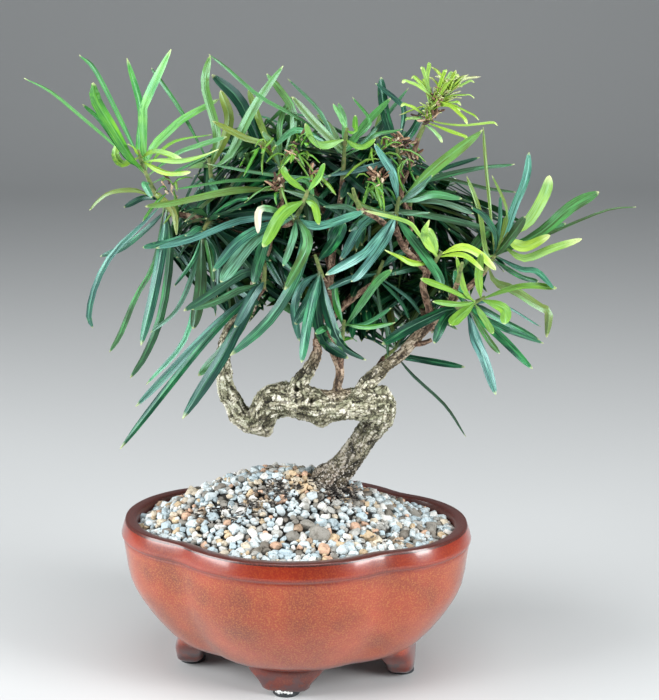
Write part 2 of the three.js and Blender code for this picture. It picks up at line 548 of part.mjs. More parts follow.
    leaves: [
    [5, -8, 157, 291, 172.5, 293, 190, 291], [8, -12, 152, 276, 152.5, 264.5], [8, -26, 119, 270, 113, 264],
    [4.5, -24, 118.5, 279.5, 100, 281.5], [5, -28, 139, 267, 144.5, 257.5], [6, -14, 133, 300, 135, 317],
    [4.5, -22, 123, 290, 116.5, 314.5], [5, -12, 112, 291, 91, 298.5],
  ] },
  { name: 'shoot_right_yellow', colour: 'yellow', more: 0, stem: [[98, 306, -20], [106, 318, -27]], leaves: [
    [6, -6, 100, 327.5, 95.5, 335], [4, -12, 116.5, 316, 125, 314, 136.5, 304],
    [5, -10, 85.5, 310, 75, 315, 65, 319.5], [6, 8, 120, 321.5, 133, 316.5, 145.5, 304.5],
    [3, -14, 89, 332, 80, 340.5, 50.5, 348], [7, -20, 94, 328, 97, 341],
  ] },
  { name: 'shoot_centre', colour: 'dark', more: 2, stem: [[0, 340, -24], [7, 354, -32]], leaves: [
    [7, -10, 14, 337, 28.5, 339.5, 50, 347.5], [5, -20, 0, 331.5, -3, 321, -8, 308],
    [7, -26, 9.5, 329, 7, 316.5, -7, 290.5], [8, -6, -16, 336, -25.5, 311.5, -29.5, 295],
    [5.5, -4, -36.5, 342, -69.5, 329.5, -99, 321.5], [8, -12, 8, 326, -1, 296, -19.5, 267.5, -47, 242],
    [7, -12, -22, 337, -41.5, 325, -58.5, 304.5], [10, -18, -26.5, 329.5, -44.5, 308.5, -53, 296.5],
    [5, -14, -23, 350, -26, 332],
  ] },
  { name: 'shoot_centre_young', colour: 'bright', more: 0, stem: [[7, 354, -32], [10, 363, -34]], leaves: [
    [9, -8, -9, 346, -22.5, 322], [5.5, 4, 15, 352, 18, 338], [5, 2, -4, 372, -8, 380],
    [5, -6, 18, 372, 22, 382],
  ] },
  { name: 'shoot_centre_low', colour: 'dark', more: 2, stem: [[20, 300, -20], [15, 316, -32]], leaves: [
    [9, -8, 12, 284, 0.5, 265], [6, 4, 6, 295, 0, 277, 3.5, 252.5], [7, -20, 10, 270, 5, 236.5],
    [8, -6, 16, 275, 22, 252, 39, 239.5], [8, -16, 24, 275, 34, 250.5, 52, 238], [9, 4, 28.5, 326, 36, 340],
  ] },
  { name: 'shoot_left_front', colour: 'dark', more: 2, stem: [[-22, 292, -16], [-21, 310, -28]], leaves: [
    [7, -8, -46.5, 274, -69.5, 252.5, -93, 228, -116.5, 204], [5.5, -20, -55.5, 263, -89, 223, -129, 171.5],
    [9, 6, -47, 252.5, -70.5, 227], [7, -12, -36.5, 303, -59, 288.5, -80, 275.5],
    [5.5, -4, -40, 290.5, -55, 283, -74.5, 276.5], [9, -14, -42, 262, -53.5, 240, -82.5, 194.5],
    [7, -20, -29.5, 288.5, -43.5, 263],
  ] },
  { name: 'shoot_left_hanging', colour: 'dark', more: 2, stem: [[-60, 345, -4], [-67, 328, -12]], leaves: [
    [5, -8, -60.5, 318, -58, 297], [5, -14, -56, 318, -54.5, 291],
    [8.5, -4, -67, 300, -69.5, 280, -73.5, 262], [3, 8, -72, 313.5, -86.5, 293.5],
    [5, 12, -88, 326, -108.5, 322], [4, 20, -74, 300, -86, 275, -104.5, 259.5],
    [4.5, 10, -70, 290, -80.5, 252.5, -108.5, 220.5], [6, -20, -68, 337, -78, 330.5],
  ] },
  { name: 'shoot_low_centre', colour: 'bright', more: 2, stem: [[34, 250, -14], [36, 268, -20]], leaves: [
    [6, -6, 49.5, 281, 60, 296, 70.5, 305], [5, 8, 30, 282, 29, 296], [3, -10, 49.5, 265, 60, 270, 70, 277],
    [4, -16, 53, 263, 73, 266], [5, -18, 24, 262, 15, 258],
  ] },
  { name: 'shoot_middle_right', colour: 'dark', more: 2, stem: [[58, 296, 10], [64, 312, 6]], leaves: [
    [3, -8, 62, 277, 67, 260.5, 68, 240], [3, -4, 76, 283, 83.5, 268.5], [3, 4, 82, 285, 91.5, 272.5],
    [5, -16, 45, 300, 24, 291], [6, 14, 78, 318, 92, 312],
  ] },
  { name: 'shoot_branch_low', colour: 'dark', more: 2, stem: [[65, 240, 12], [74, 247, 24]], leaves: [
    [6, -10, 79, 241, 97, 237.5, 124.5, 232.5], [2.6, 10, 86, 227, 110.5, 203.5, 126, 179.5],
  ] },
  { name: 'shoot_front_upper', colour: 'dark', more: 8, stem: [[46, 350, -34], [42, 364, -47]],
    leaves: [] },
  { name: 'shoot_front_right', colour: 'dark', more: 7, stem: [[118, 296, -34], [121, 310, -47]],
    leaves: [] },
  { name: 'shoot_back_left_upper', colour: 'dark', more: 8, stem: [[-50, 342, 46], [-58, 362, 58]],
    leaves: [] },
  { name: 'shoot_back_middle', colour: 'dark', more: 8, stem: [[-10, 352, 56], [-6, 374, 70]], leaves: [] },
  { name: 'shoot_back_left_low', colour: 'dark', more: 8, stem: [[-44, 308, 62], [-52, 300, 78]],
    leaves: [] },
  { name: 'shoot_back_top_left', colour: 'dark', more: 8, stem: [[-28, 372, 30], [-32, 394, 38]],
    leaves: [] },
  { name: 'shoot_back_deep', colour: 'dark', more: 7, stem: [[34, 344, 68], [40, 361, 84]], leaves: [] },
  { name: 'shoot_back_low', colour: 'dark', more: 7, stem: [[4, 312, 66], [-4, 308, 84]], leaves: [] },
  { name: 'shoot_back_top', colour: 'dark', more: 8, stem: [[8, 382, 34], [4, 405, 42]], leaves: [] },
  { name: 'shoot_back_top_right', colour: 'dark', more: 8, stem: [[54, 382, 34], [60, 403, 42]],
    leaves: [] },
  { name: 'shoot_back_right_upper', colour: 'dark', more: 8, stem: [[98, 346, 58], [106, 365, 70]],
    leaves: [] },
  { name: 'shoot_back_right_deep', colour: 'dark', more: 7, stem: [[64, 334, 72], [64, 342, 90]],
    leaves: [] },
  { name: 'shoot_back_far_right', colour: 'dark', more: 8, stem: [[128, 304, 44], [140, 319, 60]],
    leaves: [] },
  { name: 'shoot_back_right_low', colour: 'dark', more: 7, stem: [[82, 296, 58], [87, 300, 76]],
    leaves: [] },
  { name: 'shoot_back_centre_low', colour: 'dark', more: 7, stem: [[46, 300, 48], [50, 296, 64]],
    leaves: [] },
  { name: 'shoot_left_rear', colour: 'dark', more: 8, stem: [[-82, 326, 30], [-94, 323, 44]], leaves: [] },
];

// The crown as seen from the front: no leaf drawn by rule reaches past this line
const CROWN_OUTLINE = [
  [-98, 330], [-108, 290], [-80, 258], [-38, 280], [-8, 262], [30, 250], [60, 258], [90, 240], [140, 250],
  [172, 280], [180, 320], [150, 365], [128, 398], [88, 425], [40, 434], [-10, 436], [-62, 432], [-88, 400],
  [-112, 365],
];

function insideCrown(point) {
  const { x, y } = lookedAt(point);
  let inside = false;
  CROWN_OUTLINE.forEach(([ax, ay], i) => {
    const [bx, by] = CROWN_OUTLINE[(i + 1) % CROWN_OUTLINE.length];
    if ((ay > y) !== (by > y) && x < ax + (bx - ax) * (y - ay) / (by - ay)) inside = !inside;
  });
  return inside && Math.abs(point.y - CROWN_CENTRE.y) < CROWN_DEPTH;
}

// A leaf: a thin three-edged blade with its ridge along the upper face
function blade({ route, width, facing }, spare = 0, from = 0) {
  const curve = new THREE.CatmullRomCurve3(route, false, 'catmullrom', 0.5);
  const length = curve.getLength();
  const bowed = length > route[0].distanceTo(route.at(-1)) * BOWED;
  const straightSpans = route.length === 3 && length < SHORT_LEAF ? 2 : 3;
  const spans = bowed ? Math.min(5, route.length) : straightSpans;
  const rings = Array.from({ length: spans }, (_, i) => {
    const t = from + (1 - from) * i / spans;
    const travel = curve.getTangent(t);
    const side = new THREE.Vector3().crossVectors(travel, facing).normalize();
    const up = new THREE.Vector3().crossVectors(side, travel);
    const half = (t === 0 ? ROOT_WIDTH : width * Math.min(1, TAPER_START - TAPER_RATE * t)) / 2 + spare;
    const centre = curve.getPoint(t);
    return [
      centre.clone().addScaledVector(side, -half).addScaledVector(up, -spare),
      centre.clone().addScaledVector(up, BLADE_THICKNESS + spare),
      centre.clone().addScaledVector(side, half).addScaledVector(up, -spare),
    ];
  });
  return solidOf(skin(rings, curve.getPoint(1)));
}

const FRONT_FACING = new THREE.Vector3(0, -0.75, 0.65).normalize();
const BENDS = [0, -6, 6, -12, 12, -18, 18, -26, 26, -34, 34, -44, 44];
const TRIES = 40;
const OWN_CLEAR_FROM = 0.2;

// Shares of a stem between which its shown leaves are rooted
const ROOT_FROM = 0.25;
const ROOT_TO = 0.8;
const ROOT_STEP = 0.05;
const ROOT_SPREAD = 0.09;
const SPREAD_ROOM = 0.04;

// The place along a stem that looks nearest to a point, moved a little so that leaves don't bunch
function rootOn(stem, x, z, order) {
  let best = ROOT_FROM;
  let least = Infinity;
  for (let s = ROOT_FROM; s <= ROOT_TO; s += ROOT_STEP) {
    const look = lookedAt(stem.getPoint(s));
    const gap = Math.hypot(look.x - x, look.y - z);
    if (gap < least) [least, best] = [gap, s];
  }
  const spread = (order % 4 - 1.5) * ROOT_SPREAD;
  return stem.getPoint(THREE.MathUtils.clamp(best + spread, ROOT_FROM - SPREAD_ROOM, ROOT_TO + SPREAD_ROOM));
}

function shownRoute(stem, [, reach, ...flat], order, bend) {
  const root = rootOn(stem, flat[0], flat[1], order);
  const count = flat.length / 2;
  const route = [root];
  for (let i = 0; i < count; i++) {
    route.push(seen(flat[2 * i], flat[2 * i + 1], root.y + (reach + bend) * (i + 1) / count));
  }
  if (count === 1) {
    const arch = route[1].distanceTo(root) * LEAF_ARCH;
    route.splice(1, 0, root.clone().lerp(route[1], 0.5).setZ((root.z + route[1].z) / 2 + arch));
  }
  return route;
}

// A leaf the front doesn't show springs outwards from its stem and droops to its tip
function drawnLeaf(stem, draw, order, count) {
  const root = stem.getPoint(LOWEST_LEAF + LEAFY_SHARE * (order + draw() * LEAF_SCATTER) / count);
  const outward = root.clone().sub(CROWN_CENTRE).normalize();
  const between = ([low, high]) => low + draw() * (high - low);
  const turn = order * LEAF_TURN + draw() * LEAF_TURN / 2;
  const rise = between(LEAF_RISES);
  const way = new THREE.Vector3().setFromSphericalCoords(1, Math.PI / 2 - rise, turn);
  way.set(way.z, way.x, way.y).addScaledVector(outward, OUTWARD_PULL).normalize();
  const length = between(LEAF_LENGTHS);
  const droop = between(LEAF_DROOPS);
  const width = between(LEAF_WIDTHS);
  const route = [0, 0.35, 0.7, 1].map((t) => root.clone().addScaledVector(way, length * t)
    .add(new THREE.Vector3(0, 0, -droop * length * t * t)));
  const facing = new THREE.Vector3(outward.x * 0.8, outward.y * 0.8, 0.6).normalize();
  return { route, width, facing };
}

// Every solid that a leaf has to keep clear of, with the shoot that it belongs to
const placed = [];

function boxOf(solid) {
  const { min, max } = solid.boundingBox();
  return new THREE.Box3(new THREE.Vector3(...min), new THREE.Vector3(...max));
}

function place(solid, shoot) {
  placed.push({ solid, shoot, box: boxOf(solid) });
}

function isClear(solid, among) {
  const box = boxOf(solid);
  const clear = among.every((other) => {
    if (!box.intersectsBox(other.box)) return true;
    const overlap = solid.intersect(other.solid);
    const empty = overlap.isEmpty();
    overlap.delete();
    return empty;
  });
  solid.delete();
  return clear;
}

// The first candidate whose blade, made a little fatter, touches no other shoot. One that also
// keeps its outer part clear of its own shoot's leaves comes first.
function firstClear(shoot, candidates) {
  const others = placed.filter((other) => other.shoot !== shoot.name);
  const own = placed.filter((other) => other.shoot === shoot.name);
  const fit = candidates.filter((leaf) => isClear(blade(leaf, SEAT_GAP), others));
  const leaf = fit.find((one) => isClear(blade(one, SEAT_GAP, OWN_CLEAR_FROM), own)) ?? fit[0];
  if (!leaf) return;
  const solid = blade(leaf);
  place(solid, shoot.name);
  shoot.solids.push(solid);
}

function stemOf({ stem }) {
  return new THREE.LineCurve3(seen(...stem[0]), seen(...stem.at(-1)));
}

// The way in which the wood or stem that ends at this point arrives there
function arrivalAt([x, z, depth]) {
  const ends = (route) => route.at(-1)[0] === x && route.at(-1)[1] === z && route.at(-1)[2] === depth;
  const route = [TRUNK, ...BRANCHES].find(ends);
  if (route) return limbCurve(route).getTangent(1);
  return stemOf(SHOOTS.find(({ stem }) => ends(stem))).getTangent(1);
}

function stemSolid(shoot) {
  const across = new THREE.Vector3(0.3, -1, 0.2);
  const ring = (centre, travel, radius) => {
    const side = new THREE.Vector3().crossVectors(travel, across).normalize();
    const up = new THREE.Vector3().crossVectors(side, travel);
    return Array.from({ length: STEM_SIDES }, (_, i) => centre.clone()
      .addScaledVector(up, radius * Math.cos(i / STEM_SIDES * Math.PI * 2))
      .addScaledVector(side, radius * Math.sin(i / STEM_SIDES * Math.PI * 2)));
  };
  const arrival = arrivalAt(shoot.stem[0]);
  const start = shoot.curve.getPoint(0).addScaledVector(arrival, STEM_GAP);
  return solidOf(skin([
    ring(start, arrival, STEM_RADIUS),
    ring(shoot.curve.getPoint(1), shoot.curve.getTangent(1), STEM_TIP_RADIUS),
  ]));
}

function growShoots(wood) {
  place(wood, 'wood');
  for (const shoot of SHOOTS) {
    shoot.curve = stemOf(shoot);
    shoot.solids = [stemSolid(shoot)];
    place(shoot.solids[0], shoot.name);
  }
  for (const shoot of SHOOTS) {
    shoot.leaves.forEach((leaf, order) => firstClear(shoot, BENDS.map((bend) => ({
      route: shownRoute(shoot.curve, leaf, order, bend), width: leaf[0], facing: FRONT_FACING,
    }))));
  }
  SHOOTS.forEach((shoot, index) => {
    for (let order = 0; order < shoot.more; order++) {
      const draw = draws(index * 100 + order + 1);
      const tries = Array.from({ length: TRIES }, () => drawnLeaf(shoot.curve, draw, order, shoot.more));
      firstClear(shoot, tries.filter((leaf) => leaf.route.slice(1).every(insideCrown)));
    }
  });
}

// The room that the soil and the gravel leave for the trunk
function makeCollar() {
  const foot = TRUNK.slice(0, 4).map(([x, z, depth, radius]) => [x, z, depth, radius * COLLAR_SCALE]);
  const [x, , depth, radius] = foot[0];
  return limb([[x, COLLAR_BOTTOM, depth, radius], ...foot], TRUNK_SIDES, TRUNK_SIDES);
}

const wood = makeWood();
const collar = makeCollar();
growShoots(wood);
addPiece('pot', makePot(), COLOURS.glaze, 0.3);
for (const [name, distance, angle] of FEET) {
  const { x, y } = turned(distance, angle, 0);
  addPiece(`pad_${name}`, cylinder(PAD_RADIUS, PAD_HEIGHT, x, y, 0), COLOURS.rubber, 0.8);
}
drains.forEach((drain, i) => addPiece(`screen_${i + 1}`, makeScreen(drain), COLOURS.screen, 0.7));
addPiece('soil', makeSoil().subtract(collar), COLOURS.soil, 1);
addPiece('gravel', makeGravel().subtract(collar), COLOURS.gravel, 0.8);
addPiece('wood', wood, COLOURS.bark, 0.9);
for (const { name, solids, colour } of SHOOTS) addPiece(name, largest(joined(solids)), COLOURS[colour], 0.4);

// The origin is the middle of the whole box, on the surface that the pot stands on
const middle = new THREE.Box3().setFromObject(bonsai).getCenter(new THREE.Vector3());
bonsai.position.set(-middle.x, -middle.y, 0);

export default bonsai;
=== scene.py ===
import math
import random

import bmesh
import bpy
from mathutils import Color, Matrix, Vector, kdtree, noise


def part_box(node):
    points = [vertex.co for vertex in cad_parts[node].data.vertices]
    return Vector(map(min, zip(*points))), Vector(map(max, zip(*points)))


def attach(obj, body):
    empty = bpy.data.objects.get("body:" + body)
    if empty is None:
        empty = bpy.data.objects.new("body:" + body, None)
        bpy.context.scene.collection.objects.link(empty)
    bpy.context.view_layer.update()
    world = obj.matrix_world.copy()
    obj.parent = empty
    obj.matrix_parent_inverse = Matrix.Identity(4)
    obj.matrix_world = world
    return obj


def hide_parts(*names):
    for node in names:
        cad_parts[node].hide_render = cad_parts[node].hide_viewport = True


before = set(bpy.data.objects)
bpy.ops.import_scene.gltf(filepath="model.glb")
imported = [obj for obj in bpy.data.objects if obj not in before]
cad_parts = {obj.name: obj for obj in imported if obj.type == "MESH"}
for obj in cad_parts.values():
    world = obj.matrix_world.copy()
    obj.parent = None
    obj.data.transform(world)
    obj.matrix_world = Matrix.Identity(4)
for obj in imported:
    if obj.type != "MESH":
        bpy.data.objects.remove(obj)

bl_info = {
    "name": "Buddhist pine bonsai", "version": (1, 0, 0), "blender": (4, 5, 0),
    "location": "View3D > Sidebar > Bonsai",
    "description": "A buddhist pine bonsai in a four-lobed glazed pot with gravel", "category": "Add Mesh",
}

# Pieces are modelled in millimetres about the pot's upright axis, then scaled and moved there
MM = 0.001
POT_LOW, POT_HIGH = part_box("pot")
POT_AXIS = Vector(((POT_LOW.x + POT_HIGH.x) / 2, (POT_LOW.y + POT_HIGH.y) / 2, 0))
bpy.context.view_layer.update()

# Pot
POT_HEIGHT = POT_HIGH.z / MM
POT_HALF_WIDTH = 130.5
FRONT_LOBE_RADIUS = 102
SIDE_LOBE_RADIUS = 70.5
SIDE_LOBE_OFFSET = POT_HALF_WIDTH - SIDE_LOBE_RADIUS
LOBE_BLEND = 7
POT_TURN = math.radians(-8.4)
RIM_WIDTH = 11.5
WALL = 9
FLOOR_TOP = 32
POT_SEGMENTS = 160
DRAIN_OFFSET = 42
DRAIN_RADIUS = 9
PAD_RADIUS = 10
PAD_HEIGHT = 4
FEET = {"front": (50, -math.pi / 2), "right": (80, 0), "back": (50, math.pi / 2), "left": (80, math.pi)}
FOOT_LEVELS = [(4.3, 17, 10, 0), (10, 19.5, 11, -0.5), (19, 27.5, 13, -3), (29, 34, 14, -8)]

# Outside of the bowl from the underside to the groove, then the lip band up to the rim's edge
BOWL_CURVE = [(20, 76), (27, 91.5), (40, 104.5), (54, 115), (72, 124.5), (102, 129.4)]
LIP_CURVE = [
    (102.8, 129.4), (103.4, 129.1), (104.1, 129.2), (104.9, 130.1), (105.7, 130.75), (106.6, 130.85),
    (108, 130.5), (110, 129.95), (112, 129.35), (114, 128.7), (115.8, 128.05), (116.9, 127.6), (117.5, 127),
]

# Mound of gravel
SOIL_EDGE = 103
GRAVEL_DEPTH = 8
MOUND_HEIGHT = 38
MOUND_CENTRE = (-12, 18)
MOUND_SPREAD = (85, 60)

# Viewpoint, from which the tree's routes are given
VIEW_DISTANCE = 1200
VIEW_HEIGHT = 534
VIEW_PITCH = math.radians(13.5)
VIEW_YAW = math.radians(-1.21)
VIEW_LENS = 87.2
# Crown: its middle and how far its dense part reaches from there
CROWN_CENTRE = Vector((18, 20, 335))
CROWN_REACH = Vector((160, 84, 104))
CROWN_INSET = 6
FRONT_FACING = Vector((0, -0.75, 0.65)).normalized()
# How much nearer or farther than its depth a leaf's tip may lie, its arch, and the turn between leaves
BENDS = [0, -6, 6, -12, 12, -18, 18, -26, 26, -34, 34, -44, 44]
LEAF_ARCH = 0.07
LEAF_TURN = 2.4
OUTWARD_PULL = 0.75
# Least and range of what the solids' rule draws for a leaf
DRAWN_LENGTH, DRAWN_DROOP, DRAWN_WIDTH = (72, 36), (0.08, 0.2), (5.5, 3)
DRAWN_TRIES = 40
DRAWN_GAP = 0.3
HIDING_START = 0.35
SPRUNG_STEPS = (0, 0.35, 0.7, 1)
# A leaf across and along: spread of its twist and cup, ripple, height of the midrib, stalk and tip
LEAF_TWIST, LEAF_CUP, LEAF_RIPPLE = 0.28, 0.1, 0.13
RIB_HEIGHT = 0.45
STALK_END, TIP_START, TIP_LENGTH = 0.34, 0.7, 0.3
LEAF_CREASE = math.radians(50)
LEAF_ROWS = (0, 0.06, 0.15, 0.25, 0.35, 0.45, 0.55, 0.65, 0.74, 0.83, 0.91, 0.97, 1)
DEEP_ROWS = (0, 0.15, 0.4, 0.7, 0.9, 1)
FILLING_LEAVES = {"dark": 62, "bright": 8, "yellow": 0}
FILLING_TRIES = 110
FILLING_ROOM = 2.4
FILLING_LENGTH, FILLING_DROOP, FILLING_WIDTH = (46, 92), (0.05, 0.32), (4.5, 8.5)
CROWD_CELL = 12
SHOWN_CELL = 6

# Shade, bloom with painted sheen, and yellowing of each shoot's leaves, about which they vary
PLAIN_TONES = (0.4, 0.02, 0)
TONE_SPREADS = (0.24, 0.2, 0.09)
SHOOT_TONES = {
    "shoot_left_young": (0.45, 0.2, 0), "shoot_low_right_young": (0.7, 0, 0.4),
    "shoot_crown_tip": (0.7, 0, 0.25), "shoot_centre_young": (0.6, 0, 0.3), "shoot_low_centre": (0.3, 0.1, 0),
    "shoot_crown_left": (0.8, 0.1, 0.2), "shoot_crown_middle": (0.7, 0.05, 0.25),
    "shoot_crown_right": (0.75, 0.1, 0.2), "shoot_right_middle": (0.6, 0.15, 0.1),
    "shoot_far_right": (0.6, 0.1, 0.1), "shoot_left_hanging": (0.5, 0.1, 0), "shoot_centre": (0.45, 0.1, 0),
}
# Leaves with tones of their own: shade, bloom with painted sheen, yellowing and withering
OWN_TONES = {
    ("shoot_centre", 0): (0.7, 0.5, 0.0, 0.0), ("shoot_centre", 8): (0.8, 0.1, 0.2, 1.0),
    ("shoot_far_right", 0): (0.9, 0.7, 0.0, 0.0), ("shoot_far_right", 1): (0.8, 0.0, 0.15, 0.0),
    ("shoot_far_right", 5): (0.8, 0.0, 0.6, 0.0), ("shoot_far_right", 6): (0.9, 0.0, 0.6, 0.0),
    ("shoot_far_right", 7): (0.8, 0.0, 0.5, 0.0), ("shoot_far_right", 12): (0.5, 0.1, 0.5, 0.0),
    ("shoot_left_low", 0): (0.5, 0.2, 0.6, 0.0), ("shoot_left_low", 2): (0.3, 0.0, 0.7, 0.1),
    ("shoot_right_middle", 0): (1.0, 0.0, 0.35, 0.0), ("shoot_right_middle", 2): (0.6, 0.7, 0.0, 0.0),
    ("shoot_right_middle", 5): (0.5, 0.5, 0.0, 0.0), ("shoot_right_middle", 6): (0.6, 0.6, 0.0, 0.0),
    ("shoot_right_middle", 7): (0.5, 0.6, 0.0, 0.0), ("shoot_right_middle", 8): (0.4, 0.1, 0.1, 0.0),
    ("shoot_crown_left", 0): (1.0, 0.15, 0.3, 0.0), ("shoot_crown_left", 1): (1.0, 0.0, 0.35, 0.0),
    ("shoot_crown_left", 4): (0.8, 0.0, 0.7, 0.0), ("shoot_crown_middle", 2): (0.6, 0.0, 0.6, 0.0),
    ("shoot_crown_middle", 3): (0.15, 0.0, 0.0, 0.0), ("shoot_crown_middle", 4): (0.9, 0.0, 0.6, 0.0),
}

# Clusters of bracts and young leaves: x and z as seen from the front, depth, spread, number of young
# leaves and of dry bracts, and whether the young leaves stand up instead of curling
BUDS = [
    (0, 387, -20, 9, 14, 10, 0), (-12, 366, -24, 6, 3, 26, 0), (-20, 392, -12, 8, 9, 4, 0),
    (8, 398, -14, 8, 9, 4, 0), (59, 370, -18, 8, 12, 26, 0), (76, 396, -6, 7, 5, 34, 0),
    (62, 390, -10, 8, 10, 6, 0), (84, 384, -4, 6, 3, 16, 0), (-88, 363, -2, 5, 7, 6, 0),
    (96, 415, -3, 6, 12, 22, 1), (101, 425, -3, 6, 20, 18, 1), (107, 434, -3, 6, 22, 6, 1),
    (14, 372, -26, 5, 4, 8, 0),
]
YOUNG_LENGTH, BRACT_LENGTH, BUD_LEAF_WIDTH = (9, 19), (3, 8), (1.6, 2.8)
STEM_STEPS, STEM_SIDES = 6, 6
STEM_FOOT, STEM_TOP = 1.9, 1.1
HOOKED_NARROWING = 0.72
FOLIAGE_SLOTS = {"dark": "mature_leaf", "bright": "young_leaf", "yellow": "new_leaf"}

# The crown's dense part as seen from the front
CROWN_OUTLINE = [
    (-95, 335), (-92, 318), (-85, 298), (-72, 283), (-58, 262), (-43, 252), (-24, 264), (-8, 275), (4, 260),
    (18, 256), (37, 245), (62, 243), (95, 248), (117, 258), (142, 280), (153, 293), (163, 310), (168, 328),
    (162, 345), (147, 357), (131, 364), (120, 378), (104, 382), (90, 399), (79, 415), (64, 424), (49, 408),
    (41, 397), (32, 427), (10, 419), (-1, 428), (-14, 421), (-34, 419), (-56, 410), (-67, 392), (-86, 363),
]

# Steps and small sizes of the pot's shapes
INNER_CURVE = [(70, 123.5), (45, 108), (FLOOR_TOP, 96)]
FOOT_HOLLOW = [(24, 84), (30, 94), (40, 104)]
POT_CREASE = math.radians(42)
PAD_CHAMFER = 0.7
FOOT_STEPS = 8
FOOT_CHAMFER = 1.5
FOOT_SEGMENTS = 32
FOOT_SQUARENESS = 0.5
BOWL_STEPS = 16
RIM_CURVE = [(3.1, 0.3), (3.8, 0.05), (4.6, 0), (8, 0.3), (10.6, 0.6), (11.4, 1.4)]
GLUE_BEADS = 6

# Stones: sizes, tries, lift over the bed and how near to each other they may lie
PEBBLE_ROUNDS = [
    ((9, 11), 70, 0, 0.86), ((6.5, 9), 2200, 0, 0.78), ((4.5, 6.5), 6000, 0, 0.74), ((3, 4.5), 9000, 0, 0.72),
    ((3.5, 8), 1500, 2, 1.1),
]
STONE_STRETCH = ((1, 1.35), (0.85, 1.1), (0.7, 0.95))
STONE_TILT, STONE_SUNK = 0.5, 0.16
STONE_CREASE = math.radians(40)
BIG_LIFT = 0.8
BED_HALF_SIZE, BED_DROP, BED_RIM_GAP = (121, 96), 2.6, 1.5
PEBBLE_CELL = 14
PEBBLE_WEAR = 0.17
PEBBLE_SHAPES = 24
# Large stones: x and z as seen from the front, size and kind
BIG_STONES = [
    (18, 104, 15, 0.7), (9, 112, 11, 0.7), (-3, 103, 11, 0.72), (-15, 95.5, 9, 0.9), (21, 92, 10, 0.9),
    (55, 101.5, 8.5, 0.85), (-31, 105, 9, 0.5), (-22.5, 102, 8, 0.48), (-43, 110, 9.5, 0.1),
    (-11, 123.5, 9, 0.2), (-60, 119, 10, 0.35), (-31.5, 132, 8, 0.5), (44, 106, 9, 0.6), (36, 118, 10, 0.1),
    (-5, 110, 8, 0.1), (6, 96, 8, 0.1), (-8, 90, 9, 0.4), (-62, 134, 10, 0.3), (60, 118, 9, 0.2),
    (75, 108, 9, 0.4), (88, 116, 8, 0.35), (68, 128, 9, 0.3),
]
WARM_PATCH, WARM_REACH = (6, 146), 15
STONE_COLOURS = (
    (0.0, "dbe8ec"), (0.3, "bfd2da"), (0.46, "eeeeea"), (0.58, "bbbcb7"), (0.68, "96938b"), (0.76, "ded2bc"),
    (0.82, "dcc4a0"), (0.88, "dfb89c"), (0.93, "837d73"), (0.97, "b89f86"),
)
# Mulch: x and z as seen from the front, spread and number of bits
MULCH_PATCHES = [
    (30, 138, 8, 210), (37, 137, 5, 80), (-28, 129, 6, 70), (-8, 139, 7, 90), (-58, 122, 7, 40),
    (-47, 115, 7, 30), (66, 100, 9, 14),
]
MULCH_LENGTH, MULCH_WIDTH, MULCH_LIFT = (2.5, 7), (0.7, 1.7), (1, 3.6)

# Bark
BARK_VOXEL = 0.75
BARK_FLAKE = 3.4
BARK_SEED = 3
TWIG_RADIUS = 4
# Knots: x and z as seen from the front, depth, reach, height of the ring and depth of the hole
KNOTS = [
    (1, 216.5, -17, 6.5, 2, 4.5), (12, 207.5, -21, 6.5, 2, 4.5), (18, 190.5, -10, 9, 3.6, 0),
    (65.5, 216.5, -6, 8, 2.6, 0), (-31, 204, -2, 5, 0, 2.5), (-19, 213, -8, 10, 2.2, 0),
    (-21, 185, -4, 8, 4.5, 0), (-8, 205, -16, 12, 1.5, 0), (46, 205, -17, 13, 1.4, 0),
    (8, 214, -18, 4.5, -1.4, 0), (8, 200, -20, 4.5, -1.5, 0), (6, 192, -16, 4.5, -1.5, 0),
    (5, 220, -10, 8, 1.5, 0),
]

# Softboxes: name, place in metres about the pot's axis, size and power in watts
SOFTBOXES = [
    ("softbox_left", (-1.43, -0.46, 0.72), (1.05, 1.05), 38),
    ("softbox_right", (1.26, -0.81, 0.74), (0.55, 0.95), 29),
    ("softbox_top", (0.1, -0.5, 2.0), (1.4, 1.0), 19),
]

# Each limb is a list of x and z as seen from the front, depth and radius
TRUNK = [
    [20, 128, 13, 17], [25, 146, 12, 14], [30, 152, 10, 11], [39.5, 161.5, 8, 9.5], [45, 170, 6, 9],
    [51.5, 180.5, 4, 9], [60, 193, 0, 10.5], [62.5, 205, -4, 12], [50, 204.5, -7, 12.5],
    [30, 204.5, -9, 11], [18, 203.5, -9, 12.5], [5, 206.5, -8, 12.5], [-9, 208.5, -6, 12.8],
    [-20, 204, -4, 12], [-26.5, 194.5, -2, 10.2], [-36, 194, 0, 8.8], [-43.5, 204, 2, 7.4],
    [-49, 214, 3, 6.8], [-51.5, 226, 4, 6.2], [-51.5, 244, 4, 5.5], [-45, 263.5, 3, 5],
    [-35, 273, 2, 4.6], [-30, 283.5, 1, 4.3], [-27, 300, 2, 4], [-20, 322, 3, 3.6],
    [-12, 345, 0, 2.8], [-8, 358, -6, 1.8],
]

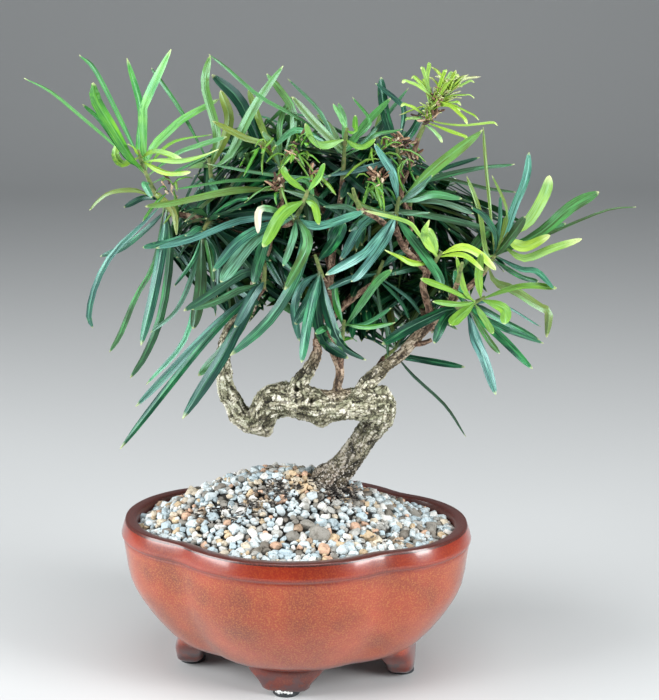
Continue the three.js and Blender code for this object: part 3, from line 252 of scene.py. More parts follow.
BRANCHES = [
    [[3, 212, -8, 7], [3, 221, -8, 6.3], [10.5, 232, -8, 5], [16.5, 245.5, -8, 3.5], [15, 254.5, -8, 2]],
    [[31, 210, -8, 5], [31, 219, -8, 3.6], [33, 229.5, -8, 3.2], [27, 250, -5, 3], [25, 285, 0, 2.8],
    [28, 320, 5, 2.5], [33, 355, 4, 2.1], [35, 372, 2, 1.8]],
    [[50, 209, -6, 7], [51, 219, -5, 6], [59, 226.5, -4, 5.2], [67, 234, -4, 4.5], [76, 241, -4, 4.2],
    [86, 251, -5, 3.9], [94, 260.5, -6, 3.5], [102.5, 268, -8, 3], [111, 272, -9, 2.4],
    [116, 275.5, -10, 1.8]],
    [[86, 250, -6, 2.4], [93, 250.5, -10, 2], [99.5, 253, -12, 1.5]],
    [[100, 266, -8, 2.8], [97, 278, -8, 2.6], [93, 293, -7, 2.5], [95, 303, -6, 2.4], [88, 311.5, -4, 2.3],
    [79, 321, -4, 2.2], [74, 332, -6, 2], [72, 340, -12, 1.8]],
    [[102, 268, -8, 2.6], [112, 280, -4, 2.4], [126, 292, -4, 2.2], [138, 304, -8, 1.8]],
    [[94, 296, -7, 2.2], [96, 301, -14, 2], [98, 306, -20, 1.8]],
    [[79, 321, -4, 2.2], [84, 338, 6, 2], [82, 352, 20, 1.8]],
    [[83, 343, 11, 2], [76, 362, 8, 1.9], [77, 380, 4, 1.8]],
    [[77, 368, 7, 1.9], [84, 385, 2, 1.9], [88, 400, 0, 1.8]],
    [[-20, 322, 3, 3.2], [-33, 331, 4, 2.8], [-58, 340, 4, 2.5], [-78, 345, 4, 2.2], [-88, 347, 3, 1.8]],
    [[-46, 337, 4, 2.3], [-53, 350, 7, 2], [-58, 364, 8, 1.8]],
    [[-50, 338, 4, 2.2], [-56, 342, 0, 2], [-60, 345, -4, 1.8]],
    [[-28, 285, 1, 3], [-25, 289, -8, 2.4], [-22, 292, -16, 1.8]],
    [[-13, 340, 1, 2.4], [-7, 338, -12, 2], [0, 340, -24, 1.8]],
    [[25, 285, 0, 2.6], [23, 294, -8, 2.2], [20, 300, -20, 1.8]],
    [[33, 232, -8, 2.6], [34, 241, -11, 2.2], [34, 250, -14, 1.8]],
    [[27, 270, -2, 2.4], [42, 284, 6, 2.2], [58, 296, 10, 1.8]],
    [[60, 228, -4, 3], [62, 234, 4, 2.4], [65, 240, 12, 1.8]],
    [[-24, 308, 3, 3], [-28, 318, 20, 2.6], [-38, 330, 38, 2.2], [-50, 342, 46, 1.8]],
    [[-28, 318, 20, 2.4], [-18, 338, 44, 2.2], [-10, 352, 56, 1.8]],
    [[-38, 330, 38, 2.2], [-40, 318, 52, 2], [-44, 308, 62, 1.8]],
    [[-17, 330, 2, 2.4], [-24, 352, 16, 2.2], [-28, 372, 30, 1.8]],
    [[27, 305, 3, 2.6], [24, 316, 24, 2.4], [28, 330, 50, 2.2], [34, 344, 68, 1.8]],
    [[24, 316, 24, 2.2], [12, 316, 46, 2], [4, 312, 66, 1.8]],
    [[29, 328, 5, 2.4], [18, 356, 22, 2.2], [8, 382, 34, 1.8]],
    [[30, 338, 4, 2.3], [46, 362, 22, 2.1], [54, 382, 34, 1.8]],
    [[88, 311.5, -4, 2.4], [86, 322, 18, 2.3], [92, 336, 44, 2.1], [98, 346, 58, 1.8]],
    [[87, 327, 28, 2.2], [70, 330, 52, 2], [64, 334, 72, 1.8]],
    [[112, 280, -4, 2.3], [118, 292, 20, 2.1], [128, 304, 44, 1.8]],
    [[99, 262, -6, 2.8], [94, 272, 18, 2.4], [86, 286, 42, 2.1], [82, 296, 58, 1.8]],
    [[36, 280, 3, 2.3], [44, 290, 28, 2.1], [46, 300, 48, 1.8]],
    [[74, 331, -6, 2.2], [60, 342, -20, 2], [46, 350, -34, 1.8]],
    [[112, 280, -4, 2.2], [116, 290, -20, 2], [118, 296, -34, 1.8]],
    [[-58, 340, 4, 2.2], [-72, 332, 18, 2], [-82, 326, 30, 1.8]],
    [[16, 249, -8, 2.9], [17.5, 262, -5, 2.5], [22, 275, -1, 2.2], [24, 290, 5, 1.9], [26, 304, 10, 1.7]],
]

# Leafy stems: name, colour, number of leaves that the front doesn't show, stem, and leaves. A leaf is
# its width, how far its tip reaches back, then x and z of the points on the way to its tip.
SHOOTS = [
    ("shoot_left_low", "dark", 3, [[-88, 347, 3], [-99, 361, 2]], [
        [4, 10, -109, 362.5, -120, 363.5, -131.5, 361.5, -140, 355.5, -145.5, 349],
        [4.5, -12, -107, 358, -121, 351], [4.5, -10, -97, 360, -86, 348, -84, 331],
        [4.5, 14, -107, 340, -129, 319, -142, 297, -148.5, 274, -146, 263],
        [5, 30, -103, 336.5, -121.5, 322, -139, 315.5], [7.5, -14, -94.5, 322, -101.5, 288.5, -111.5, 250],
        [6, 16, -88.5, 322, -95.5, 276, -107.5, 245.5, -120, 225.5],
        [4.5, 32, -100.5, 310.5, -114, 286.5, -126, 259, -134.5, 245],
    ]),
    ("shoot_left_young", "bright", 2, [[-99, 361, 2], [-107, 381, 0]], [
        [2.6, 20, -126, 395, -150, 416, -170, 433, -188, 442], [3.5, 8, -121.5, 413, -138.5, 448, -149, 458],
        [8, -10, -116, 388, -126, 405, -138, 426, -140, 439], [4, -22, -118, 387, -135, 412, -148, 424],
        [5, 12, -109, 393, -107, 420, -116, 456], [7, -6, -106, 413, -102, 429, -85, 462],
        [6, 14, -100, 393, -88, 405, -76.5, 414.5, -52, 427.5], [2.5, 6, -86, 397, -58, 402.5],
        [4, -8, -83, 389, -67, 395, -47, 401], [4.5, -14, -106, 368, -101, 358],
    ]),
    ("shoot_left_yellow", "yellow", 0, [[-107, 381, 0], [-110, 392, -2]], [
        [5, -34, -96, 385, -81.5, 384, -67, 387, -53, 392], [5, -20, -96.5, 390, -78, 384],
        [4.5, -24, -91, 376, -73, 376], [6, -18, -121, 382, -126, 389, -122, 399], [4, 10, -117, 396],
    ]),
    ("shoot_crown_left", "dark", 5, [[-58, 364, 8], [-60, 386, 4]], [
        [7, -14, -45, 388.5, -33, 412.5, -20.5, 432.5, -7, 450.5],
        [6, 8, -54, 402.5, -62, 435.5, -58, 457.5], [3, 14, -77, 416, -92, 439, -99, 449],
        [5, -20, -58, 368, -54.5, 359], [7, 20, -45.5, 410.5, -51, 433.5],
    ]),
    ("shoot_crown_middle", "dark", 3, [[-8, 358, -6], [-9, 384, -10]], [
        [6, -10, -43, 363, -82, 355, -106, 351.5], [3, 0, -45, 370, -84, 364],
        [5, 12, -21.5, 395, -34.5, 400, -57, 412], [9, 18, -20, 388.5, -37.5, 425.5, -57, 444.5],
        [5, 26, -25, 415, -31.5, 434], [5, -10, -14, 395, -22, 404.5], [4, 15, -9.5, 410.5, -1, 429],
        [5.5, 14, 0.5, 414.5, -10.5, 435.5, -18.5, 445], [5.5, -30, 13, 357, 17, 344],
        [4, -25, 8, 370, 14, 359],
    ]),
    ("shoot_crown_right", "dark", 3, [[35, 372, 2], [36, 397, -2]], [
        [6, -12, 26.5, 398.5, 13.5, 412.5, -1, 429], [3, 10, 30.5, 392.5, 18.5, 418.5, -4, 441.5],
        [3, -20, 6.5, 412.5, -23.5, 429, -46, 448.5, -59, 458.5], [4, 25, 36, 403, 35.5, 414.5, 31.5, 424.5],
        [4, 30, 28, 405, 16.5, 416.5], [6, 14, 39.5, 395, 50.5, 410, 68.5, 428], [3, 20, 51.5, 400, 81, 435],
        [3, 18, 50, 405, 53.5, 413.5, 41.5, 428.5], [4, -18, 50, 395, 58.5, 402.5, 77, 406],
        [5, -24, 16, 401, 0.5, 405.5, -13.5, 394], [3, -14, 20, 372, -10.5, 373.5, -61.5, 382],
    ]),
    ("shoot_crown_tip", "bright", 0, [[36, 397, -2], [38, 407, -4]], [
        [7, -26, 18.5, 396, 8, 410], [5, -25, 47.5, 394, 58, 399], [4, -15, 43, 405, 43.5, 416],
        [4, 12, 33, 415, 28, 424],
    ]),
    ("shoot_crown_far_right", "dark", 4, [[77, 380, 4], [72, 395, 8]], [
        [7, 16, 64.5, 416.5, 61.5, 442.5], [4, 10, 78, 418, 72.5, 426.5, 57.5, 438.5],
        [5, -14, 55, 379.5, 24.5, 373], [6, 20, 84, 405, 92, 422],
    ]),
    ("shoot_top_young", "yellow", 0, [[88, 400, 0], [102.5, 431, -2]], [
        [4, 6, 94, 440, 95.5, 452], [4, -8, 90.5, 449], [4, 10, 84.5, 443], [5, -10, 78.5, 440.5],
        [3, 14, 91, 441], [4, -14, 78, 424], [4, -5, 106.5, 447], [4, 8, 111, 445.5], [4, -12, 114.5, 444],
        [2.5, 4, 124.5, 440], [4, 12, 116.5, 437.5], [2.5, -6, 124, 430], [4, -16, 115.5, 425],
        [5, 10, 115, 421.5], [2.5, -12, 128, 415.5], [4, -18, 121, 413], [3, 2, 114.5, 408.5, 141, 410.5],
        [4, -14, 112, 404, 121.5, 400.5], [4, -16, 103.5, 400], [4, 10, 79.5, 413.5], [3, 0, 104.5, 439],
    ]),
    ("shoot_right_middle", "dark", 3, [[72, 340, -12], [75, 358, -16]], [
        [8.5, -6, 94.5, 374, 114.5, 390.5, 133.5, 405.5], [6, -18, 90.5, 365, 98.5, 373],
        [6, -10, 72, 369.5, 68.5, 378.5, 57, 396], [5, -12, 50, 346, 36, 351, 21, 351],
        [4, -24, 51, 351, 38, 361], [7, -14, 51, 340.5, 33.5, 312.5],
        [7, -26, 57, 325, 47, 315.5, 22.5, 301.5], [6, -4, 67, 330, 50, 306, 41, 296.5],
        [5, 10, 80.5, 347, 107.5, 342.5, 146.5, 332.5], [3.5, -20, 84, 346, 97, 346.5],
        [6, -14, 88, 357, 99.5, 360, 120, 356.5], [5, -22, 104, 354, 128.5, 345.5],
        [7, -10, 84.5, 328, 101.5, 305, 107.5, 292.5],
    ]),
    ("shoot_right_rear", "dark", 5, [[82, 352, 20], [88, 373, 24]], [
        [4, 6, 101, 376, 132, 386], [5, -6, 101.5, 372, 130.5, 378.5, 157, 381],
        [3, 10, 106.5, 371, 137, 364, 158.5, 361],
    ]),
    ("shoot_far_right", "dark", 2, [[138, 304, -8], [147, 320, -10]], [
        [6, 8, 149.5, 325.5, 157.5, 349.5, 165.5, 371, 167, 389.5],
        [8.5, -8, 176, 331.5, 198.5, 350.5, 218, 361], [5, 6, 172, 329, 195, 338.5],
        [2.4, 0, 175.5, 327.5, 200.5, 338.5, 225.5, 348, 245, 350], [7, -20, 155, 328, 165.5, 343.5],
        [2.4, 12, 139.5, 355.5, 136.5, 381, 134, 407.5], [3.5, -6, 138, 317.5, 132.5, 348, 123, 372.5],
        [3.5, -12, 151, 337, 151.5, 350.5, 141, 373], [3, -18, 147.5, 340, 147.5, 358.5],
        [5, -16, 163, 305.5, 175, 303.5, 188.5, 290], [4, -24, 162, 300.5, 176.5, 296],
        [5, -30, 144.5, 332, 135.5, 345, 127, 350],
        [7, 6, 145, 296, 159, 290, 177, 278, 184.5, 273, 183.5, 254.5],
    ]),
    ("shoot_far_right_young", "yellow", 0, [[147, 320, -10], [154, 332, -12]], [
        [8, -4, 168, 340, 179.5, 360.5, 182, 373], [9, -14, 165.5, 321.5, 184, 329.5],
        [6, -2, 165, 313, 185, 320, 207, 327],
    ]),
    ("shoot_low_right", "dark", 2, [[116, 275.5, -10], [128, 279, -14]], [
        [8.5, -8, 107.5, 274, 84, 262.5, 63.5, 250], [7, -22, 109, 268, 101.5, 250.5],
        [8, -10, 131.5, 254, 138, 239, 147.5, 211.5], [7, -4, 133.5, 271, 154.5, 251, 174, 231],
        [5, -16, 146, 264.5, 158.5, 258.5, 181.5, 250], [6, 6, 135.5, 276.5, 156.5, 264.5, 178.5, 252.5],
        [4.5, -26, 140, 255, 149.5, 242.5], [5.5, 10, 118, 292, 116, 305], [2.5, 14, 146, 281, 179, 262.5],
    ]),
    ("shoot_low_right_young", "bright", 0, [[128, 279, -14], [138, 285, -16]], [
        [5, -8, 157, 291, 172.5, 293, 190, 291], [8, -12, 152, 276, 152.5, 264.5],
        [8, -26, 119, 270, 113, 264], [4.5, -24, 118.5, 279.5, 100, 281.5], [5, -28, 139, 267, 144.5, 257.5],
        [6, -14, 133, 300, 135, 317], [4.5, -22, 123, 290, 116.5, 314.5], [5, -12, 112, 291, 91, 298.5],
    ]),
    ("shoot_right_yellow", "yellow", 0, [[98, 306, -20], [106, 318, -27]], [
        [6, -6, 100, 327.5, 95.5, 335], [4, -12, 116.5, 316, 125, 314, 136.5, 304],
        [5, -10, 85.5, 310, 75, 315, 65, 319.5], [6, 8, 120, 321.5, 133, 316.5, 145.5, 304.5],
        [3, -14, 89, 332, 80, 340.5, 50.5, 348], [7, -20, 94, 328, 97, 341],
    ]),
    ("shoot_centre", "dark", 2, [[0, 340, -24], [7, 354, -32]], [
        [7, -10, 14, 337, 28.5, 339.5, 50, 347.5], [5, -20, 0, 331.5, -3, 321, -8, 308],
        [7, -26, 9.5, 329, 7, 316.5, -7, 290.5], [8, -6, -16, 336, -25.5, 311.5, -29.5, 295],
        [5.5, -4, -36.5, 342, -69.5, 329.5, -99, 321.5], [8, -12, 8, 326, -1, 296, -19.5, 267.5, -47, 242],
        [7, -12, -22, 337, -41.5, 325, -58.5, 304.5], [10, -18, -26.5, 329.5, -44.5, 308.5, -53, 296.5],
        [5, -14, -23, 350, -26, 332],
    ]),
    ("shoot_centre_young", "bright", 0, [[7, 354, -32], [10, 363, -34]], [
        [9, -8, -9, 346, -22.5, 322], [5.5, 4, 15, 352, 18, 338], [5, 2, -4, 372, -8, 380],
        [5, -6, 18, 372, 22, 382],
    ]),
    ("shoot_centre_low", "dark", 2, [[20, 300, -20], [15, 316, -32]], [
        [9, -8, 12, 284, 0.5, 265], [6, 4, 6, 295, 0, 277, 3.5, 252.5], [7, -20, 10, 270, 5, 236.5],
        [8, -6, 16, 275, 22, 252, 39, 239.5], [8, -16, 24, 275, 34, 250.5, 52, 238],
        [9, 4, 28.5, 326, 36, 340],
    ]),
    ("shoot_left_front", "dark", 2, [[-22, 292, -16], [-21, 310, -28]], [
        [7, -8, -46.5, 274, -69.5, 252.5, -93, 228, -116.5, 204],
        [5.5, -20, -55.5, 263, -89, 223, -129, 171.5], [9, 6, -47, 252.5, -70.5, 227],
        [7, -12, -36.5, 303, -59, 288.5, -80, 275.5], [5.5, -4, -40, 290.5, -55, 283, -74.5, 276.5],
        [9, -14, -42, 262, -53.5, 240, -82.5, 194.5], [7, -20, -29.5, 288.5, -43.5, 263],
    ]),
    ("shoot_left_hanging", "dark", 2, [[-60, 345, -4], [-67, 328, -12]], [
        [5, -8, -60.5, 318, -58, 297], [5, -14, -56, 318, -54.5, 291],
        [8.5, -4, -67, 300, -69.5, 280, -73.5, 262], [3, 8, -72, 313.5, -86.5, 293.5],
        [5, 12, -88, 326, -108.5, 322], [4, 20, -74, 300, -86, 275, -104.5, 259.5],
        [4.5, 10, -70, 290, -80.5, 252.5, -108.5, 220.5], [6, -20, -68, 337, -78, 330.5],
    ]),
    ("shoot_low_centre", "bright", 2, [[34, 250, -14], [36, 268, -20]], [
        [6, -6, 49.5, 281, 60, 296, 70.5, 305], [5, 8, 30, 282, 29, 296],
        [3, -10, 49.5, 265, 60, 270, 70, 277], [4, -16, 53, 263, 73, 266], [5, -18, 24, 262, 15, 258],
    ]),
    ("shoot_middle_right", "dark", 2, [[58, 296, 10], [64, 312, 6]], [
        [3, -8, 62, 277, 67, 260.5, 68, 240], [3, -4, 76, 283, 83.5, 268.5], [3, 4, 82, 285, 91.5, 272.5],
        [5, -16, 45, 300, 24, 291], [6, 14, 78, 318, 92, 312],
    ]),
    ("shoot_branch_low", "dark", 2, [[65, 240, 12], [74, 247, 24]], [
        [6, -10, 79, 241, 97, 237.5, 124.5, 232.5], [2.6, 10, 86, 227, 110.5, 203.5, 126, 179.5],
    ]),
    ("shoot_front_upper", "dark", 8, [[46, 350, -34], [42, 364, -47]], []),
    ("shoot_front_right", "dark", 7, [[118, 296, -34], [121, 310, -47]], []),
    ("shoot_back_left_upper", "dark", 8, [[-50, 342, 46], [-58, 362, 58]], []),
    ("shoot_back_middle", "dark", 8, [[-10, 352, 56], [-6, 374, 70]], []),
    ("shoot_back_left_low", "dark", 8, [[-44, 308, 62], [-52, 300, 78]], []),
    ("shoot_back_top_left", "dark", 8, [[-28, 372, 30], [-32, 394, 38]], []),
    ("shoot_back_deep", "dark", 7, [[34, 344, 68], [40, 361, 84]], []),
    ("shoot_back_low", "dark", 7, [[4, 312, 66], [-4, 308, 84]], []),
    ("shoot_back_top", "dark", 8, [[8, 382, 34], [4, 405, 42]], []),
    ("shoot_back_top_right", "dark", 8, [[54, 382, 34], [60, 403, 42]], []),
    ("shoot_back_right_upper", "dark", 8, [[98, 346, 58], [106, 365, 70]], []),
    ("shoot_back_right_deep", "dark", 7, [[64, 334, 72], [64, 342, 90]], []),
    ("shoot_back_far_right", "dark", 8, [[128, 304, 44], [140, 319, 60]], []),
    ("shoot_back_right_low", "dark", 7, [[82, 296, 58], [87, 300, 76]], []),
    ("shoot_back_centre_low", "dark", 7, [[46, 300, 48], [50, 296, 64]], []),
    ("shoot_left_rear", "dark", 8, [[-82, 326, 30], [-94, 323, 44]], []),
]


def srgb(colour, alpha=1.0):
    """A six-digit hex colour as linear values."""
    parts = [int(colour[i:i + 2], 16) / 255 for i in (0, 2, 4)]
    linear = [c / 12.92 if c <= 0.04045 else ((c + 0.055) / 1.055) ** 2.4 for c in parts]
    return (*linear, alpha)


def linear(colour):
    """A colour from a hex colour, a colour property or a grey level."""
    if isinstance(colour, str):
        return srgb(colour)
    if isinstance(colour, (int, float)):
        return (colour, colour, colour, 1)
    return (*colour, 1)


def set_inputs(tree, node, inputs):
    """Sets a node's inputs to values or colours, or links them to sockets or to nodes' main outputs."""
    for key, value in inputs.items():
        if isinstance(value, bpy.types.Node):
            value = next(socket for socket in value.outputs if socket.enabled)
        if isinstance(value, bpy.types.NodeSocket):
            tree.links.new(value, node.inputs[key])
        elif isinstance(value, (str, Color)):
            node.inputs[key].default_value = linear(value)
        else:
            node.inputs[key].default_value = value


def add_node(tree, kind, inputs=None, stops=(), **settings):
    """Adds a shader node with its settings, inputs and colour stops. A Mix node mixes colours: its share is
    input 0, and the colours are inputs 6 and 7."""
    made = tree.nodes.new("ShaderNode" + kind)
    if kind == "Mix":
        made.data_type = "RGBA"
    for name, value in settings.items():
        setattr(made, name, value)
    set_inputs(tree, made, inputs or {})
    for i, (position, colour) in enumerate(stops):
        stop = made.color_ramp.elements[i] if i < 2 else made.color_ramp.elements.new(position)
        stop.position = position
        stop.color = linear(colour)
    return made


def start_material(name, **sockets):
    """A new material with its shader's fixed values set on the shader itself."""
    material = bpy.data.materials.new(name)
    material.use_nodes = True
    tree = material.node_tree
    shader = tree.nodes["Principled BSDF"]
    for socket, value in sockets.items():
        shader.inputs[socket.replace("_", " ")].default_value = value
    return material, tree, shader


def per_mm(size):
    """The scale of a pattern on Object coordinates whose cells are this many millimetres wide."""
    return 1 / (size * MM)


def clouded_finish(name, size, stops, detail=2, **sockets):
    """An even finish whose colour clouds in patches this many millimetres wide."""
    material, tree, shader = start_material(name, **sockets)
    place = add_node(tree, "TexCoord").outputs["Object"]
    clouds = add_node(tree, "TexNoise", {"Vector": place, "Scale": per_mm(size), "Detail": detail})
    set_inputs(tree, shader, {"Base Color": add_node(tree, "ValToRGB", {0: clouds}, stops=stops)})
    return material


def make_piece(bm, name, materials, slot, *nodes):
    """Turns a bmesh in millimetres about the pot's axis into a piece of the object."""
    bmesh.ops.scale(bm, vec=(MM, MM, MM), verts=bm.verts)
    bmesh.ops.translate(bm, vec=POT_AXIS, verts=bm.verts)
    mesh = bpy.data.meshes.new(name)
    bm.to_mesh(mesh)
    bm.free()
    piece = bpy.data.objects.new(name, mesh)
    bpy.context.scene.collection.objects.link(piece)
    for material in materials:
        mesh.materials.append(material)
    mesh.shade_smooth()
    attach(piece, "root")
    if nodes:
        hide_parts(*nodes)
    return piece


def seen(x, z, depth):
    """The place that looks like x and z on the plane through the pot's axis, so far behind it."""
    scale = (VIEW_DISTANCE + depth) / VIEW_DISTANCE
    return Vector((x * scale, depth, VIEW_HEIGHT + (z - VIEW_HEIGHT) * scale))


def looked_at(point):
    scale = VIEW_DISTANCE / (VIEW_DISTANCE + point.y)
    return point.x * scale, VIEW_HEIGHT + (point.z - VIEW_HEIGHT) * scale


def spline(points, t, power=0.0):
    """A point on the Catmull-Rom curve through points. Power 0.25 makes it centripetal."""
    at = min(max(t, 0), 1) * (len(points) - 1)
    span = min(int(at), len(points) - 2)
    t = at - span
    b, c = points[span], points[span + 1]
    a = points[span - 1] if span else b * 2 - c
    d = points[span + 2] if span + 2 < len(points) else c * 2 - b
    ab, bc, cd = ((q - p).length_squared ** power for p, q in ((a, b), (b, c), (c, d)))
    leave = ((b - a) / ab - (c - a) / (ab + bc) + (c - b) / bc) * bc
    arrive = ((c - b) / bc - (d - b) / (bc + cd) + (d - c) / cd) * bc
    return b + (leave + ((c - b) * 3 - leave * 2 - arrive + ((b - c) * 2 + leave + arrive) * t) * t) * t


def heading(points, t, power=0.0):
    step = 0.0001
    return (spline(points, t + step, power) - spline(points, t - step, power)).normalized()


def mix(a, b, share):
    return a + (b - a) * share


def smooth_step(low, high, value):
    share = min(max((value - low) / (high - low), 0), 1)
    return share * share * (3 - 2 * share)


# Pot


def lobe_radius(angle):
    """Radius of the four-lobed outline at the rim, with soft creases between the lobes."""
    inside = SIDE_LOBE_RADIUS ** 2 - (SIDE_LOBE_OFFSET * math.sin(angle)) ** 2
    side = SIDE_LOBE_OFFSET * abs(math.cos(angle)) + math.sqrt(inside) if inside > 0 else 0
    blend = max(LOBE_BLEND - abs(side - FRONT_LOBE_RADIUS), 0)
    return max(FRONT_LOBE_RADIUS, side) + blend * blend / LOBE_BLEND / 4


def lobed_ring(half_width, inset, z):
    """Places round the pot, running anticlockwise as seen from above."""
    places = []
    for i in range(POT_SEGMENTS):
        angle = i / POT_SEGMENTS * math.tau
        radius = lobe_radius(angle) * half_width / POT_HALF_WIDTH - inset
        places.append(Vector((radius * math.cos(angle + POT_TURN), radius * math.sin(angle + POT_TURN), z)))
    return places


def turned(radius, angle, z):
    return Vector((radius * math.cos(angle + POT_TURN), radius * math.sin(angle + POT_TURN), z))


def start_ring(bm, places):
    """A first ring of verts at these places, made from a circle."""
    verts = bmesh.ops.create_circle(bm, segments=len(places), radius=1)["verts"]
    for vert, place in zip(verts, places):
        vert.co = place
    edges = dict.fromkeys(edge for vert in verts for edge in vert.link_edges)
    return verts, list(edges)


def close_ring(bm, edges):
    """Fills a ring with a fan about its middle."""
    face = bmesh.ops.contextual_create(bm, geom=edges)["faces"]
    bmesh.ops.poke(bm, faces=face)


def lofted(bm, rings):
    """A closed skin over rings of places."""
    verts, edges = start_ring(bm, rings[0])
    close_ring(bm, edges)
    for places in rings[1:]:
        order = {vert: i for i, vert in enumerate(verts)}
        ring = sorted(edges, key=lambda edge: min(order[vert] for vert in edge.verts))
        made = bmesh.ops.extrude_edge_only(bm, edges=ring)["geom"]
        new_verts = [part for part in made if isinstance(part, bmesh.types.BMVert)]
        new_edges = [part for part in made if isinstance(part, bmesh.types.BMEdge)]
        follows = {}
        for vert in new_verts:
            below = next(edge.other_vert(vert) for edge in vert.link_edges if edge.other_vert(vert) in order)
            follows[order[below]] = vert
        verts = [follows[i] for i in range(len(places))]
        for vert, place in zip(verts, places):
            vert.co = place
        fresh = set(verts)
        edges = [edge for edge in new_edges if edge.verts[0] in fresh and edge.verts[1] in fresh]
    close_ring(bm, edges)


def glazed_stoneware():
    """Stoneware under a thick iron-red glaze: glossy, mottled with fine amber specks, and broken
    to dark brown where it runs thin on the rim and the feet, with painted shade under the bowl."""
    material, tree, shader = start_material(
        "glazed_stoneware", Roughness=0.3, Coat_Roughness=0.13, Coat_IOR=1.5,
    )
    colours = bpy.context.scene.bonsai_pot
    place = add_node(tree, "TexCoord").outputs["Object"]
    height = add_node(tree, "SeparateXYZ", {0: place}).outputs["Z"]
    depth = add_node(tree, "Attribute", attribute_name="rim_depth").outputs["Fac"]
    cloud = add_node(tree, "TexNoise", {"Vector": place, "Scale": per_mm(34), "Detail": 3})
    body = add_node(
        tree, "ValToRGB", {0: cloud},
        stops=((0.3, colours.glaze_dark), (0.5, colours.glaze), (0.72, colours.glaze_light)),
    )
    # Specks of amber crystals, about 1 mm wide
    specks = add_node(
        tree, "TexNoise", {"Vector": place, "Scale": per_mm(1.1), "Detail": 2, "Roughness": 0.6},
    )
    speck_amount = add_node(tree, "ValToRGB", {0: specks}, stops=((0.45, 0.0), (0.7, 0.5)))
    speckled = add_node(tree, "Mix", {0: speck_amount, 6: body, 7: colours.speck})
    # The lip band is redder, and the glaze is amber where it breaks over the groove. Low down the tint is
    # darker: thin glaze on the feet, and painted shade under the bowl, darkest where the bowl meets the feet
    bands = add_node(tree, "MapRange", {0: height, "From Max": POT_HEIGHT * MM})
    band_tint_and_shade = add_node(
        tree, "ValToRGB", {0: bands},
        stops=(
            (0.03, "a0796a"), (0.13, "b5846c"), (0.19, "9c6450"), (0.21, "cc9078"), (0.26, "fff4ee"),
            (0.845, "fff4ee"), (0.862, "f0c890"), (0.878, "d09a60"), (0.892, "cf9078"), (0.91, "e2aa9c"),
            (0.98, "cf9084"),
        ),
    )
    tinted = add_node(tree, "Mix", {0: 1.0, 6: speckled, 7: band_tint_and_shade}, blend_type="MULTIPLY")
    # Purple smudges of thin glaze low on the feet
    smudge = add_node(tree, "TexNoise", {"Vector": place, "Scale": per_mm(11), "Detail": 4})
    smudge_amount = add_node(tree, "ValToRGB", {0: smudge}, stops=((0.48, 0.0), (0.55, 0.9)))
    low = add_node(
        tree, "MapRange", {0: height, "From Min": 14 * MM, "From Max": 21 * MM, "To Min": 1, "To Max": 0},
    )
    smudged = add_node(tree, "Math", {0: smudge_amount, 1: low}, operation="MULTIPLY")
    footed = add_node(tree, "Mix", {0: smudged, 6: tinted, 7: colours.smudge})
    # Rim: a dark line at its outer edge, then brown iron glaze
    rim = add_node(tree, "ValToRGB", {0: depth}, stops=((0.02, 0.0), (0.05, 1.0)))
    rim_colour = add_node(
        tree, "ValToRGB", {0: depth},
        stops=((0.05, colours.rim_edge), (0.13, colours.rim_edge), (0.2, colours.rim), (0.85, colours.rim)),
    )
    rim_mottle = add_node(tree, "Mix", {0: speck_amount, 6: rim_colour, 7: "83453a"})
    whole = add_node(tree, "Mix", {0: rim, 6: footed, 7: rim_mottle})
    set_inputs(tree, shader, {"Base Color": whole})
    # The glaze is thick and glassy but for the rim, where it is rubbed dull
    gloss = add_node(tree, "MapRange", {0: rim, "To Min": 0.9, "To Max": 0.3})
    set_inputs(tree, shader, {"Coat Weight": gloss})
    # Brushed pooling of the glaze and a faint orange-peel surface
    pooling = add_node(tree, "TexNoise", {"Vector": place, "Scale": per_mm(7), "Detail": 2})
    ripple = add_node(tree, "Bump", {"Strength": 0.35, "Distance": 0.25 * MM, "Height": pooling})
    pits = add_node(
        tree, "Bump", {"Strength": 0.3, "Distance": 0.08 * MM, "Height": specks, "Normal": ripple},
    )
    set_inputs(tree, shader, {"Normal": pits})
    return material


def foot_rings(distance, angle):
    """Rounded rectangles that widen upwards into the bowl, with a slight waist."""
    outward = turned(1, angle, 0)
    sideways = turned(1, angle + math.pi / 2, 0)
    levels = [Vector(level) for level in FOOT_LEVELS]
    shape = [Vector((width, depth, lean)) for _, width, depth, lean in FOOT_LEVELS]
    rings = []
    for step in range(FOOT_STEPS + 1):
        t = step / FOOT_STEPS
        width, depth, lean = spline(shape, t)
        z = spline([Vector((level[0], 0, 0)) for level in levels], t).x
        if step == 0:
            width, depth = width - FOOT_CHAMFER, depth - FOOT_CHAMFER
        ring = []
        for i in range(FOOT_SEGMENTS):
            turn = i / FOOT_SEGMENTS * math.tau
            out = math.copysign(abs(math.cos(turn)) ** FOOT_SQUARENESS, math.cos(turn)) * depth
            across = math.copysign(abs(math.sin(turn)) ** FOOT_SQUARENESS, math.sin(turn)) * width
            ring.append(outward * (distance + lean + out) + sideways * across + Vector((0, 0, z)))
        rings.append(ring)
    return rings


def bowl_rings():
    """From the middle of the underside, out and up to the rim, over it and down inside."""
    outside = [Vector((half_width, z, 0)) for z, half_width in BOWL_CURVE]
    rings = [lobed_ring(outside[0].x - 3, 0, BOWL_CURVE[0][0] - 0.6)]
    for step in range(BOWL_STEPS + 1):
        place = spline(outside, step / BOWL_STEPS, 0.25)
        rings.append(lobed_ring(place.x, 0, place.y))
    rings += [lobed_ring(half_width, 0, z) for z, half_width in LIP_CURVE]
    for inset, fall in RIM_CURVE:
        rings.append(lobed_ring(POT_HALF_WIDTH, inset, POT_HEIGHT - fall))
    rings.append(lobed_ring(POT_HALF_WIDTH - 1.5, RIM_WIDTH, SOIL_EDGE))
    for z, half_width in INNER_CURVE:
        rings.append(lobed_ring(half_width, WALL, z))
    return rings


def evaluated(piece):
    """Applies a piece's modifiers."""
    mesh = bpy.data.meshes.new_from_object(piece.evaluated_get(bpy.context.evaluated_depsgraph_get()))
    piece.modifiers.clear()
    piece.data = mesh


